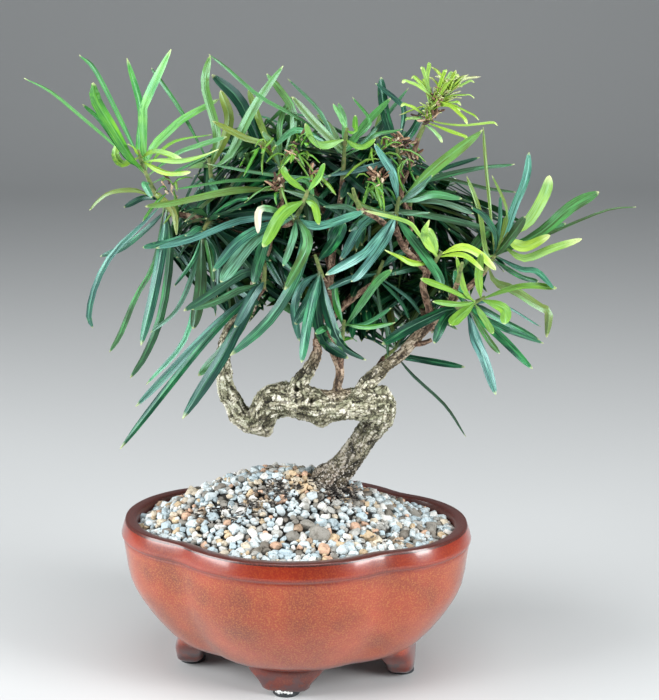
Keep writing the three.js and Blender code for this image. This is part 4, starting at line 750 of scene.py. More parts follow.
def cut_or_join(piece, other, operation):
    """Joins another piece to this one, or cuts it away, and removes the other."""
    change = piece.modifiers.new(operation, "BOOLEAN")
    change.operation = operation
    change.solver = "EXACT"
    change.object = other
    evaluated(piece)
    bpy.data.objects.remove(other)


def loose_object(bm, name):
    """An object that is no piece, such as a tool body or the floor."""
    mesh = bpy.data.meshes.new(name)
    bm.to_mesh(mesh)
    bm.free()
    thing = bpy.data.objects.new(name, mesh)
    bpy.context.scene.collection.objects.link(thing)
    return thing


def scaled_object(bm, name):
    """A tool body in the frame's metres."""
    bmesh.ops.scale(bm, vec=(MM, MM, MM), verts=bm.verts)
    bmesh.ops.translate(bm, vec=POT_AXIS, verts=bm.verts)
    return loose_object(bm, name)


def paint_rim_depth(mesh):
    """How far inside the outline each vert near the rim lies, from 0 outside to 1 at the inner wall."""
    layer = mesh.attributes.new("rim_depth", "FLOAT", "POINT")
    values = []
    for vert in mesh.vertices:
        place = (vert.co - POT_AXIS) / MM
        angle = math.atan2(place.y, place.x) - POT_TURN
        inset = lobe_radius(angle) - math.hypot(place.x, place.y)
        values.append(min(max(inset / RIM_WIDTH, 0), 1) if place.z > SOIL_EDGE - 8 and
                      (place.z > POT_HEIGHT - 1.2 or inset > RIM_WIDTH / 2) else 0)
    layer.data.foreach_set("value", values)


def make_pot():
    """The bowl with its feet joined on and its drain holes cut."""
    bm = bmesh.new()
    lofted(bm, bowl_rings())
    bmesh.ops.recalc_face_normals(bm, faces=bm.faces)
    pot = make_piece(bm, "pot_glazed", [glazed_stoneware()], "glaze", "pot")
    for side, (distance, angle) in FEET.items():
        bm = bmesh.new()
        lofted(bm, foot_rings(distance, angle))
        bmesh.ops.recalc_face_normals(bm, faces=bm.faces)
        foot = scaled_object(bm, "foot_" + side)
        inside = bmesh.new()
        lofted(inside, [lobed_ring(half_width, WALL - 1, z) for z, half_width in FOOT_HOLLOW])
        bmesh.ops.recalc_face_normals(inside, faces=inside.faces)
        cut_or_join(foot, scaled_object(inside, "hollow"), "DIFFERENCE")
        cut_or_join(pot, foot, "UNION")
    for angle in (0, math.pi):
        bm = bmesh.new()
        bmesh.ops.create_cone(
            bm, cap_ends=True, segments=32, radius1=DRAIN_RADIUS, radius2=DRAIN_RADIUS, depth=FLOOR_TOP,
            matrix=Matrix.Translation(turned(DRAIN_OFFSET, angle, FLOOR_TOP / 2 + PAD_HEIGHT)),
        )
        cut_or_join(pot, scaled_object(bm, "drain"), "DIFFERENCE")
    paint_rim_depth(pot.data)
    pot.data.shade_smooth()
    pot.data.set_sharp_from_angle(angle=POT_CREASE)


def moulded_rubber():
    """Black stick-on rubber: matt with a faint haze of dust and a moulded grain."""
    material, tree, shader = start_material("moulded_rubber", Roughness=0.55, IOR=1.52)
    place = add_node(tree, "TexCoord").outputs["Object"]
    dust = add_node(tree, "TexNoise", {"Vector": place, "Scale": per_mm(3), "Detail": 5})
    tone = add_node(tree, "ValToRGB", {0: dust}, stops=((0.35, "15181b"), (0.7, "33383d")))
    set_inputs(tree, shader, {"Base Color": tone})
    grain = add_node(tree, "TexNoise", {"Vector": place, "Scale": per_mm(0.6)})
    bump = add_node(tree, "Bump", {"Strength": 0.3, "Distance": 0.1 * MM, "Height": grain})
    set_inputs(tree, shader, {"Normal": bump})
    return material


def make_pads():
    """Round rubber pads stuck under the feet."""
    rubber = moulded_rubber()
    for side, (distance, angle) in FEET.items():
        bm = bmesh.new()
        middle = turned(distance, angle, PAD_HEIGHT / 2)
        bmesh.ops.create_cone(
            bm, cap_ends=True, segments=48, radius1=PAD_RADIUS, radius2=PAD_RADIUS - 0.5, depth=PAD_HEIGHT,
            matrix=Matrix.Translation(middle),
        )
        edges = [edge for edge in bm.edges if abs(edge.verts[0].co.z - edge.verts[1].co.z) < 0.1]
        bmesh.ops.bevel(
            bm, geom=edges, offset=PAD_CHAMFER, segments=3, profile=0.5, affect="EDGES", material=-1,
        )
        make_piece(bm, "rubber_pad_" + side, [rubber], "rubber_pad", "pad_" + side)


def make_glue():
    """Beads of glue squeezed out along the front pad."""
    draw = random.Random(5)
    distance, angle = FEET["front"]
    bm = bmesh.new()
    for bead in range(GLUE_BEADS):
        turn = angle + math.radians(-34 + 68 * bead / (GLUE_BEADS - 1)) - math.radians(4)
        size = draw.uniform(0.9, 1.7)
        edge = turned(PAD_RADIUS - 0.4, turn, PAD_HEIGHT + draw.uniform(-0.6, 0.3))
        made = bmesh.ops.create_icosphere(bm, subdivisions=2, radius=size)["verts"]
        bmesh.ops.scale(bm, vec=(1, 0.8, draw.uniform(0.6, 1.3)), verts=made)
        bmesh.ops.translate(bm, vec=turned(distance, angle, 0) + edge, verts=made)
    # Clear glue that dried in milky beads
    glue = clouded_finish(
        "dried_glue", 1.5, ((0.4, "cfd2d2"), (0.7, "f2f2ee")), Roughness=0.15, IOR=1.49, Coat_Weight=0.5,
    )
    make_piece(bm, "glue_beads", [glue], "rubber_pad")


# Soil, screens and gravel


def mound_top(x, y, edge):
    """Height of the mound over a base level, the same surface as the solids' one."""
    angle = math.atan2(y, x) - POT_TURN
    reach = min(1, math.hypot(x, y) / (lobe_radius(angle) - RIM_WIDTH))
    across = (x - MOUND_CENTRE[0]) / MOUND_SPREAD[0]
    along = (y - MOUND_CENTRE[1]) / MOUND_SPREAD[1]
    return edge + MOUND_HEIGHT * math.exp(-across ** 2 - along ** 2) * (1 - reach ** 5)


def room_to_rim(x, y):
    """How far a place is from the pot's inner wall."""
    return lobe_radius(math.atan2(y, x) - POT_TURN) - RIM_WIDTH - math.hypot(x, y)


def potting_mix():
    """Damp bark and pumice mix: dark, matt and crumbly."""
    material, tree, shader = start_material("potting_mix", Roughness=0.9)
    place = add_node(tree, "TexCoord").outputs["Object"]
    crumbs = add_node(tree, "TexVoronoi", {"Vector": place, "Scale": per_mm(3.5)})
    tone = add_node(
        tree, "ValToRGB", {0: crumbs}, stops=((0.1, "4a382a"), (0.45, "2a1f17"), (0.8, "17110d")),
    )
    set_inputs(tree, shader, {"Base Color": tone})
    bump = add_node(tree, "Bump", {"Strength": 0.8, "Distance": 1 * MM, "Height": crumbs})
    set_inputs(tree, shader, {"Normal": bump})
    return material


def finish_inner_nodes():
    """Gives the soil and the drain screens their finishes. They keep the solids' meshes."""
    # Black mesh, moulded with a satin skin
    plastic = clouded_finish(
        "moulded_polypropylene", 0.8, ((0.3, "141616"), (0.7, "262929")), Roughness=0.45, IOR=1.49,
    )
    for names, material in ((("soil",), potting_mix()), (("screen_1", "screen_2"), plastic)):
        for name in names:
            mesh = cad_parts[name].data
            mesh.materials.clear()
            mesh.materials.append(material)


def river_gravel():
    """Screened river gravel of white quartz, pale limestone, buff and grey stones, each worn
    smooth but dry and dusty, with darker flecks and cleavage stains, and painted shade low on each stone."""
    material, tree, shader = start_material("river_gravel", Roughness=0.62, IOR=1.54)
    place = add_node(tree, "TexCoord").outputs["Object"]
    stone = add_node(tree, "Attribute", attribute_name="stone")
    parts = add_node(tree, "SeparateXYZ", {0: stone.outputs["Vector"]})
    kinds = add_node(tree, "ValToRGB", {0: parts.outputs["X"]}, stops=STONE_COLOURS)
    kinds.color_ramp.interpolation = "CONSTANT"
    # Cloudy stains inside each stone, about 3 mm wide
    stain = add_node(tree, "TexNoise", {"Vector": place, "Scale": per_mm(4), "Detail": 5, "Roughness": 0.7})
    stained = add_node(tree, "ValToRGB", {0: stain}, stops=((0.32, "8d8577"), (0.52, "ffffff")))
    mixed = add_node(tree, "Mix", {0: 0.75, 6: kinds, 7: stained}, blend_type="MULTIPLY")
    # Mineral flecks, about half a millimetre wide
    fleck = add_node(tree, "TexNoise", {"Vector": place, "Scale": per_mm(0.8), "Detail": 2})
    fleck_amount = add_node(tree, "ValToRGB", {0: fleck}, stops=((0.58, 0.0), (0.68, 0.45)))
    flecked = add_node(tree, "Mix", {0: fleck_amount, 6: mixed, 7: "5d564b"})
    # Painted shade: the lower part of each stone is darker, times each stone's own shade value
    low = add_node(tree, "ValToRGB", {0: parts.outputs["Z"]}, stops=((0.12, 0.3), (0.46, 1.0)))
    lit = add_node(tree, "Math", {0: parts.outputs["Y"], 1: low}, operation="MULTIPLY")
    shade = add_node(tree, "Mix", {0: 1.0, 6: flecked, 7: lit}, blend_type="MULTIPLY")
    set_inputs(tree, shader, {"Base Color": shade})
    bump = add_node(tree, "Bump", {"Strength": 0.5, "Distance": 0.3 * MM, "Height": stain})
    set_inputs(tree, shader, {"Normal": bump})
    return material


def pebble_template(draw):
    """A chipped stone about 1 across: a block knocked askew, with worn edges."""
    bm = bmesh.new()
    bmesh.ops.create_cube(bm, size=0.8)
    for vert in bm.verts:
        vert.co += Vector([draw.uniform(-PEBBLE_WEAR, PEBBLE_WEAR) for _ in range(3)])
    bmesh.ops.bevel(
        bm, geom=bm.edges, offset=draw.uniform(0.12, 0.22), segments=1, profile=0.5, affect="EDGES",
        material=-1,
    )
    bm.verts.layers.float_vector.new("stone")
    mesh = bpy.data.meshes.new("pebble")
    bm.to_mesh(mesh)
    bm.free()
    return mesh


def scatter_pebbles(draw):
    """Places for stones, the large ones first, none nearer to another than their sizes allow."""
    cells, stones = {}, []
    trunk_x, _, trunk_depth, trunk_radius = TRUNK[1]

    def add(x, y, size, lift, closeness, kind=None):
        near = [
            cells.get((int(x // PEBBLE_CELL) + i, int(y // PEBBLE_CELL) + j), [])
            for i in (-1, 0, 1) for j in (-1, 0, 1)
        ]
        for other_x, other_y, other_size, other_lift in (one for cell in near for one in cell):
            gap = (size + other_size) / 2 * closeness
            if other_lift in (lift, BIG_LIFT) and math.hypot(x - other_x, y - other_y) < gap:
                return
        if room_to_rim(x, y) < size * 0.42:
            return
        if math.hypot(x - trunk_x, y - trunk_depth) < trunk_radius + size * 0.3:
            return
        cells.setdefault((int(x // PEBBLE_CELL), int(y // PEBBLE_CELL)), []).append((x, y, size, lift))
        stones.append((x, y, size, lift, kind))

    for x, z, size, kind in BIG_STONES:
        place = on_mound(x, z)
        add(place.x, place.y, size, BIG_LIFT, 0, kind)
    for sizes, tries, lift, closeness in PEBBLE_ROUNDS:
        for _ in range(tries):
            angle = draw.uniform(0, math.tau)
            radius = math.sqrt(draw.random()) * POT_HALF_WIDTH
            add(radius * math.cos(angle), radius * math.sin(angle), draw.uniform(*sizes), lift, closeness)
    return stones


def on_mound(x, z):
    """The place on the gravel that looks like x and z from the front."""
    best, least = None, math.inf
    for step in range(-100, 80):
        top = Vector((x * (VIEW_DISTANCE + step) / VIEW_DISTANCE, step, 0))
        top.z = mound_top(top.x, top.y, SOIL_EDGE) + GRAVEL_DEPTH
        gap = abs(looked_at(top)[1] - z)
        if room_to_rim(top.x, top.y) > 0:
            if gap > least and least < 1:
                break
            if gap < least:
                best, least = top, gap
    return best


def make_gravel():
    """Loose stones on a bed that follows the mound."""
    settings = bpy.context.scene.bonsai_gravel
    draw = random.Random(settings.seed)
    templates = [pebble_template(draw) for _ in range(PEBBLE_SHAPES)]
    bm = bmesh.new()
    stone = bm.verts.layers.float_vector.new("stone")
    # The bed under the loose stones, a dark grey sheet painted as the shade in the gaps between them
    bmesh.ops.create_grid(bm, x_segments=90, y_segments=72, size=1)
    for vert in bm.verts:
        vert.co.x *= BED_HALF_SIZE[0]
        vert.co.y *= BED_HALF_SIZE[1]
        gap = room_to_rim(vert.co.x, vert.co.y)
        if gap < BED_RIM_GAP:
            vert.co.xy *= 1 - (BED_RIM_GAP - gap) / max(vert.co.xy.length, 1)
        top = mound_top(vert.co.x, vert.co.y, SOIL_EDGE) + GRAVEL_DEPTH
        vert.co.z = top - BED_DROP + noise.noise(vert.co * 0.3)
        # Painted shade: a dark stone colour at a low shade value
        vert[stone] = (0.95, 0.15, 1)
    warm = on_mound(*WARM_PATCH)
    for x, y, size, lift, kind in scatter_pebbles(draw):
        first = len(bm.verts)
        bm.from_mesh(draw.choice(templates))
        bm.verts.ensure_lookup_table()
        stretch = Vector([draw.uniform(*ends) for ends in STONE_STRETCH]) * size
        tilt = Matrix.Rotation(draw.gauss(0, STONE_TILT), 3, "X")
        tilt @= Matrix.Rotation(draw.gauss(0, STONE_TILT), 3, "Y")
        turn = Matrix.Rotation(draw.uniform(0, math.tau), 3, "Z")
        level = mound_top(x, y, SOIL_EDGE) + GRAVEL_DEPTH - size * STONE_SUNK + lift
        # Painted shade: stones near the trunk are darker; each stone's shade also varies at random
        near_trunk = smooth_step(14, 42, math.hypot(x - TRUNK[1][0], y - TRUNK[1][2]))
        other, shade = draw.random(), draw.uniform(0.8, 1.0) * (0.8 + 0.2 * near_trunk)
        if math.hypot(x - warm.x, y - warm.y) < WARM_REACH:
            other, shade = 0.76 + 0.13 * other, 1
        kind = kind or other
        for vert in bm.verts[first:]:
            offset = tilt @ turn @ (vert.co * stretch)
            vert.co = Vector((x, y, level)) + offset
            vert[stone] = (kind, shade, 0.5 + offset.z / size)
    stones = make_piece(bm, "gravel_stones", [river_gravel()], "gravel", "gravel")
    stones.data.set_sharp_from_angle(angle=STONE_CREASE)
    for template in templates:
        bpy.data.meshes.remove(template)


def make_mulch():
    """Slivers of bark and root strewn in patches, thickest in front of the trunk."""
    # Shredded bark and dead roots: fibrous, dark and dry, with bleached fibres
    mould = clouded_finish(
        "leaf_mould", 5,
        ((0.36, "100f0e"), (0.47, "302b27"), (0.55, "6d6760"), (0.62, "c2bdb2"), (0.7, "efede6")), 4,
        Roughness=0.85,
    )
    draw = random.Random(31)
    bm = bmesh.new()
    bits = ((on_mound(x, z), spread) for x, z, spread, count in MULCH_PATCHES for _ in range(count))
    for middle, spread in bits:
        x, y = middle.x + draw.gauss(0, spread), middle.y + draw.gauss(0, spread * 0.8)
        if room_to_rim(x, y) < 6:
            continue
        length, width = draw.uniform(*MULCH_LENGTH), draw.uniform(*MULCH_WIDTH)
        made = bmesh.ops.create_cone(
            bm, cap_ends=True, segments=5, radius1=width / 2, radius2=width * 0.3, depth=length,
        )["verts"]
        bend = draw.uniform(-0.9, 0.9)
        for vert in made:
            vert.co.x += bend * (vert.co.z / length * 2) ** 2
        tilt = Matrix.Rotation(math.pi / 2 + draw.gauss(0, 0.28), 3, "X")
        turn = Matrix.Rotation(draw.uniform(0, math.tau), 3, "Z") @ tilt
        bmesh.ops.rotate(bm, verts=made, matrix=turn)
        level = mound_top(x, y, SOIL_EDGE) + GRAVEL_DEPTH + draw.uniform(*MULCH_LIFT)
        bmesh.ops.translate(bm, verts=made, vec=(x, y, level))
    make_piece(bm, "mulch", [mould], "soil")


# Trunk and branches


def limb_points(route):
    return [seen(x, z, depth) for x, z, depth, _ in route]


def add_limb(bm, route, samples, sides, step_length):
    """A tube along a route. Samples get its middle line, for the bark to follow."""
    points = limb_points(route)
    length = sum((b - a).length for a, b in zip(points, points[1:]))
    steps = max(4, int(length / step_length))
    rings = []
    across = Vector((0.3, -1, 0.2)).normalized()
    travelled, last = 0, points[0]
    for step in range(steps + 1):
        t = step / steps
        at = min(len(route) - 1.0001, t * (len(route) - 1))
        radius = mix(route[int(at)][3], route[int(at) + 1][3], at - int(at))
        centre, travel = spline(points, t, 0.25), heading(points, t, 0.25)
        side = travel.cross(across).normalized()
        across = side.cross(travel)
        travelled += (centre - last).length
        last = centre
        turns = [i / sides * math.tau for i in range(sides)]
        rings.append([centre + (across * math.cos(turn) + side * math.sin(turn)) * radius for turn in turns])
        samples.append((centre, across.copy(), side, travelled, radius))
    lofted(bm, rings)


def knot_places(wood):
    """Where the bark shows each knot from the front."""
    eye = Vector((0, -VIEW_DISTANCE, VIEW_HEIGHT))
    scene_state = bpy.context.evaluated_depsgraph_get()
    places = []
    for x, z, depth, *_ in KNOTS:
        hit, place, *_ = wood.ray_cast(
            POT_AXIS + eye * MM, (seen(x, z, 0) - eye).normalized(), depsgraph=scene_state,
        )
        places.append((place - POT_AXIS) / MM if hit else seen(x, z, depth))
    return places


def knot_relief(place, knots):
    """The height that knots, burls, notches and pruning scars add at a place, in millimetres, and how
    much painted shade darkens their holes there."""
    relief, dark = 0, 0
    for centre, (_, _, _, reach, rise, hole) in zip(knots, KNOTS):
        gap = (place - centre).length / reach
        if gap < 1.7:
            relief += rise * math.exp(-((gap - 0.6) / 0.28) ** 2 if hole else -gap * gap * 2)
            relief -= hole * math.exp(-(gap / 0.3) ** 2)
            dark += math.exp(-(gap / 0.34) ** 4) if hole else 0
    return relief, min(dark, 1)


def raise_bark(wood, samples):
    """Lifts the bark in flakes along the limbs, and keeps each vert's place in it for the material:
    bark_flow is the place round and along the limb, bark_facts the age and the height of the flake."""
    tree = kdtree.KDTree(len(samples))
    for i, (centre, *_) in enumerate(samples):
        tree.insert(centre, i)
    tree.balance()
    mesh = wood.data
    knots = knot_places(wood)
    # Without a seed, the noise of vectors starts from the clock
    noise.seed_set(BARK_SEED)
    flows, facts, places = [], [], []
    for vert in mesh.vertices:
        place = (vert.co - POT_AXIS) / MM
        centre, up, side, travelled, radius = samples[tree.find(place)[1]]
        offset = place - centre
        along = travelled + offset.dot(side.cross(up))
        age = smooth_step(2.4, 6, radius)
        flow = Vector((offset.dot(up), offset.dot(side), along * mix(0.4, 0.46, age)))
        flow += noise.turbulence_vector(place * 0.12, 2, False) * mix(0.6, 2, age)
        gaps = noise.voronoi(flow / mix(1.8, BARK_FLAKE, age))[0]
        crack = smooth_step(0, 0.34, gaps[1] - gaps[0])
        grit = noise.fractal(flow * 0.8, 1.0, 2.1, 3)
        lumps = noise.noise(place * 0.08) * mix(0.2, 1.6, age) + noise.noise(place * 0.2) * mix(0.1, 0.9, age)
        knot, dark = knot_relief(place, knots)
        relief = (crack - 0.6) * mix(0.2, 0.8, age) + grit * mix(0.12, 0.6, age) + lumps + knot
        # A knot's hole takes the painted shade of a crack's bottom
        crack *= 1 - dark
        places.append(vert.co + vert.normal * relief * MM)
        flows.append(flow)
        facts.append(Vector((age, crack, 0.5 + grit * 0.6)))
    for name, values in (("bark_flow", flows), ("bark_facts", facts)):
        layer = mesh.attributes.new(name, "FLOAT_VECTOR", "POINT")
        layer.data.foreach_set("vector", [part for value in values for part in value])
    mesh.vertices.foreach_set("co", [part for place in places for part in place])
    mesh.update()
    mesh.shade_smooth()


def lichened_bark():
    """Old flaking bark, cream and grey-green with lichen over nearly black cracks. Young twigs keep
    a smoother pinkish-brown skin."""
    material, tree, shader = start_material("lichened_bark", Roughness=0.85)
    colours = bpy.context.scene.bonsai_tree
    flow = add_node(tree, "Attribute", attribute_name="bark_flow").outputs["Vector"]
    facts = add_node(tree, "Attribute", attribute_name="bark_facts")
    parts = add_node(tree, "SeparateXYZ", {0: facts.outputs["Vector"]})
    place = add_node(tree, "TexCoord").outputs["Object"]
    # Each flake, about 3 mm wide, has its own tone
    plates = add_node(tree, "TexVoronoi", {"Vector": flow, "Scale": 1 / BARK_FLAKE, "Randomness": 1})
    plate = add_node(tree, "SeparateColor", {0: plates.outputs["Color"]})
    crumble = add_node(tree, "TexNoise", {"Vector": flow, "Scale": 1 / 2.6, "Detail": 6, "Roughness": 0.72})
    worn = add_node(tree, "Math", {0: plate, 1: 0.3, 2: crumble}, operation="MULTIPLY_ADD")
    old = add_node(
        tree, "ValToRGB", {0: worn},
        stops=(
            (0.42, colours.bark_crack), (0.51, "58543f"), (0.59, colours.bark), (0.69, "c3c0a6"),
            (0.8, "efecdf"),
        ),
    )
    lichen = add_node(tree, "TexNoise", {"Vector": place, "Scale": per_mm(8), "Detail": 5, "Roughness": 0.65})
    lichen_amount = add_node(tree, "ValToRGB", {0: lichen}, stops=((0.47, 0.0), (0.58, 0.6)))
    crusted = add_node(tree, "Mix", {0: lichen_amount, 6: old, 7: colours.lichen}, blend_type="MULTIPLY")
    young = add_node(
        tree, "ValToRGB", {0: worn}, stops=((0.45, "3a2a22"), (0.62, colours.young_bark), (0.8, "b39a84")),
    )
    aged = add_node(tree, "Mix", {0: parts.outputs["X"], 6: young, 7: crusted})
    # Painted shade, darkest down in the cracks between flakes and in the knots' holes
    crack_shade = add_node(
        tree, "ValToRGB", {0: parts.outputs["Y"]},
        stops=((0.04, "2b251f"), (0.3, "b3ac9c"), (0.6, "ffffff")),
    )
    shaded = add_node(tree, "Mix", {0: 0.8, 6: aged, 7: crack_shade}, blend_type="MULTIPLY")
    # Near the ground the bark is damp and dark
    height = add_node(tree, "SeparateXYZ", {0: place}).outputs["Z"]
    damp = add_node(
        tree, "MapRange",
        {0: height, "From Min": 145 * MM, "From Max": 198 * MM, "To Min": 0.95, "To Max": 0},
    )
    footed = add_node(tree, "Mix", {0: damp, 6: shaded, 7: "8c7d78"}, blend_type="MULTIPLY")
    # and flecked with pale scurf, about a millimetre wide
    scurf = add_node(tree, "TexNoise", {"Vector": place, "Scale": per_mm(1.7), "Detail": 3})
    scurf_amount = add_node(tree, "ValToRGB", {0: scurf}, stops=((0.56, 0.0), (0.64, 0.9)))
    flecks = add_node(tree, "Math", {0: scurf_amount, 1: damp}, operation="MULTIPLY")
    flecked = add_node(tree, "Mix", {0: flecks, 6: footed, 7: "d5cfc6"})
    set_inputs(tree, shader, {"Base Color": flecked})
    bump = add_node(tree, "Bump", {"Strength": 0.8, "Distance": 0.5 * MM, "Height": worn})
    set_inputs(tree, shader, {"Normal": bump})
    return material


def make_wood():
    """Fuses the trunk with its stout limbs and raises their bark, then adds the twigs."""
    bark = lichened_bark()
    bm, samples = bmesh.new(), []
    for route in [TRUNK, *BRANCHES]:
        if route[0][3] > TWIG_RADIUS:
            add_limb(bm, route, samples, 16, 2)
    bmesh.ops.recalc_face_normals(bm, faces=bm.faces)
    trunk = make_piece(bm, "trunk_bark", [bark], "bark", "wood")
    fuse = trunk.modifiers.new("fuse", "REMESH")
    fuse.mode = "VOXEL"
    fuse.voxel_size = BARK_VOXEL * MM
    evaluated(trunk)
    raise_bark(trunk, samples)
    bm, samples = bmesh.new(), []
    for route in BRANCHES:
        if route[0][3] <= TWIG_RADIUS:
            add_limb(bm, route, samples, 10, 1.2)
    bmesh.ops.recalc_face_normals(bm, faces=bm.faces)
    raise_bark(make_piece(bm, "twigs", [bark], "bark"), samples)


# Foliage


def draws(seed):
    """A repeatable draw of numbers from 0 to 1, the same as the solids' one."""
    state = seed

    def draw():
        nonlocal state
        state = (state * 1664525 + 1013904223) & 0xFFFFFFFF
        return state / 0x100000000

    return draw


def root_on(stem, x, z, order):
    """The place along a stem that looks nearest to x and z, spread a little by the leaf's order."""
    def gap(share):
        look = looked_at(stem[0].lerp(stem[1], share))
        return math.hypot(look[0] - x, look[1] - z)

    best = min((0.25 + 0.05 * i for i in range(11)), key=gap)
    share = min(max(best + (order % 4 - 1.5) * 0.09, 0.21), 0.84)
    return stem[0].lerp(stem[1], share)


def shown_route(stem, leaf, order, bend):
    """A leaf's way from its stem through the points where the front shows it."""
    _, reach, *flat = leaf
    root = root_on(stem, flat[0], flat[1], order)
    count = len(flat) // 2
    route = [root] + [
        seen(flat[2 * i], flat[2 * i + 1], root.y + (reach + bend) * (i + 1) / count) for i in range(count)
    ]
    if count == 1:
        middle = root.lerp(route[1], 0.5)
        middle.z += (route[1] - root).length * LEAF_ARCH
        route.insert(1, middle)
    return route


def drawn_leaf(stem, draw, order, count):
    """A leaf that the front doesn't show springs outwards from its stem and droops to its tip."""
    root = stem[0].lerp(stem[1], 0.2 + 0.77 * (order + draw() * 0.6) / count)
    outward = (root - CROWN_CENTRE).normalized()
    turn = order * LEAF_TURN + draw() * LEAF_TURN / 2
    rise = -0.55 + draw() * 1.5
    way = Vector((math.cos(rise) * math.cos(turn), math.cos(rise) * math.sin(turn), math.sin(rise)))
    way = (way + outward * OUTWARD_PULL).normalized()
    length, droop, width = (
        least + draw() * more for least, more in (DRAWN_LENGTH, DRAWN_DROOP, DRAWN_WIDTH)
    )
    route = [root + way * length * t - Vector((0, 0, droop * length * t * t)) for t in SPRUNG_STEPS]
    return route, width, Vector((outward.x * 0.8, outward.y * 0.8, 0.6)).normalized()


def leaf_template(rows):
    """A strap whose verts hold their place across it (x), along it (y) and in its section (z):
    0 on an edge, 1 beside the midrib, 2 on the midrib and -1 underneath."""
    section = [(-0.5, 0), (-0.09, 1), (0, 2), (0.09, 1), (0.5, 0), (0, -1)]
    bm = bmesh.new()
    lofted(bm, [[Vector((u, v, level)) for u, level in section] for v in rows])
    bmesh.ops.recalc_face_normals(bm, faces=bm.faces)
    bm.verts.layers.float_color.new("leaf")
    uv = bm.loops.layers.uv.new("UVMap")
    for face in bm.faces:
        under = any(vert.co.z < -0.5 for vert in face.verts)
        for loop in face.loops:
            u, v, _ = loop.vert.co
            loop[uv].uv = (1.5 - u if under else u + 0.5, v)
    mesh = bpy.data.meshes.new("strap")
    bm.to_mesh(mesh)
    bm.free()
    return mesh


def leaf_width(v):
    """A strap leaf's width at a share of its length: a narrow stalk, a long blade, an acute tip."""
    stalk = mix(0.2, 1, smooth_step(0, STALK_END, v))
    past = max((v - TIP_START) / TIP_LENGTH, 0)
    return stalk * max(1 - past ** 2.3, 0.01) ** 0.55


def add_leaf(bm, template, rows, route, width, facing, tones, draw):
    """Appends a strap bent along its route, cupped, twisted and raised along the midrib."""
    layer = bm.verts.layers.float_color["leaf"]
    first = len(bm.verts)
    bm.from_mesh(template)
    bm.verts.ensure_lookup_table()
    twist = draw.gauss(0, LEAF_TWIST)
    cup = draw.gauss(-0.05, LEAF_CUP)
    wave = draw.uniform(0, math.tau)
    frames = []
    for t in rows:
        travel = heading(route, min(max(t, 0.001), 0.999))
        side = travel.cross(facing).normalized()
        up = side.cross(travel)
        turn = twist * t * t + LEAF_RIPPLE * math.sin(wave + t * 8)
        frames.append((
            spline(route, t), side * math.cos(turn) + up * math.sin(turn),
            up * math.cos(turn) - side * math.sin(turn),
        ))
    for vert in bm.verts[first:]:
        u, v, level = vert.co
        centre, side, up = frames[min(range(len(rows)), key=lambda row: abs(rows[row] - v))]
        wide = max(width * leaf_width(v), 1.3 if v < 0.2 else 0.2)
        rise = {2: RIB_HEIGHT, 1: 0.12, 0: cup * wide, -1: -mix(0.55, 0.3, v)}[round(level)]
        vert.co = centre + side * u * wide + up * rise
        vert[layer] = tones


def crown_leaf(name, deep, draw):
    """Shade, bloom with painted sheen, yellowing and withering of one leaf, darker deep in the crown as
    painted shade.
    """
    if deep:
        # Leaves deep in the crown are painted darker, as painted shade
        return [min(max(draw.gauss(0.18, 0.2), 0), 1), 0, min(max(draw.gauss(-0.1, 0.15), 0), 1), 0.0]
    means = SHOOT_TONES.get(name, PLAIN_TONES)
    return [min(max(mean + draw.gauss(0, spread), 0), 1) for mean, spread in zip(means, TONE_SPREADS)] + [0.0]


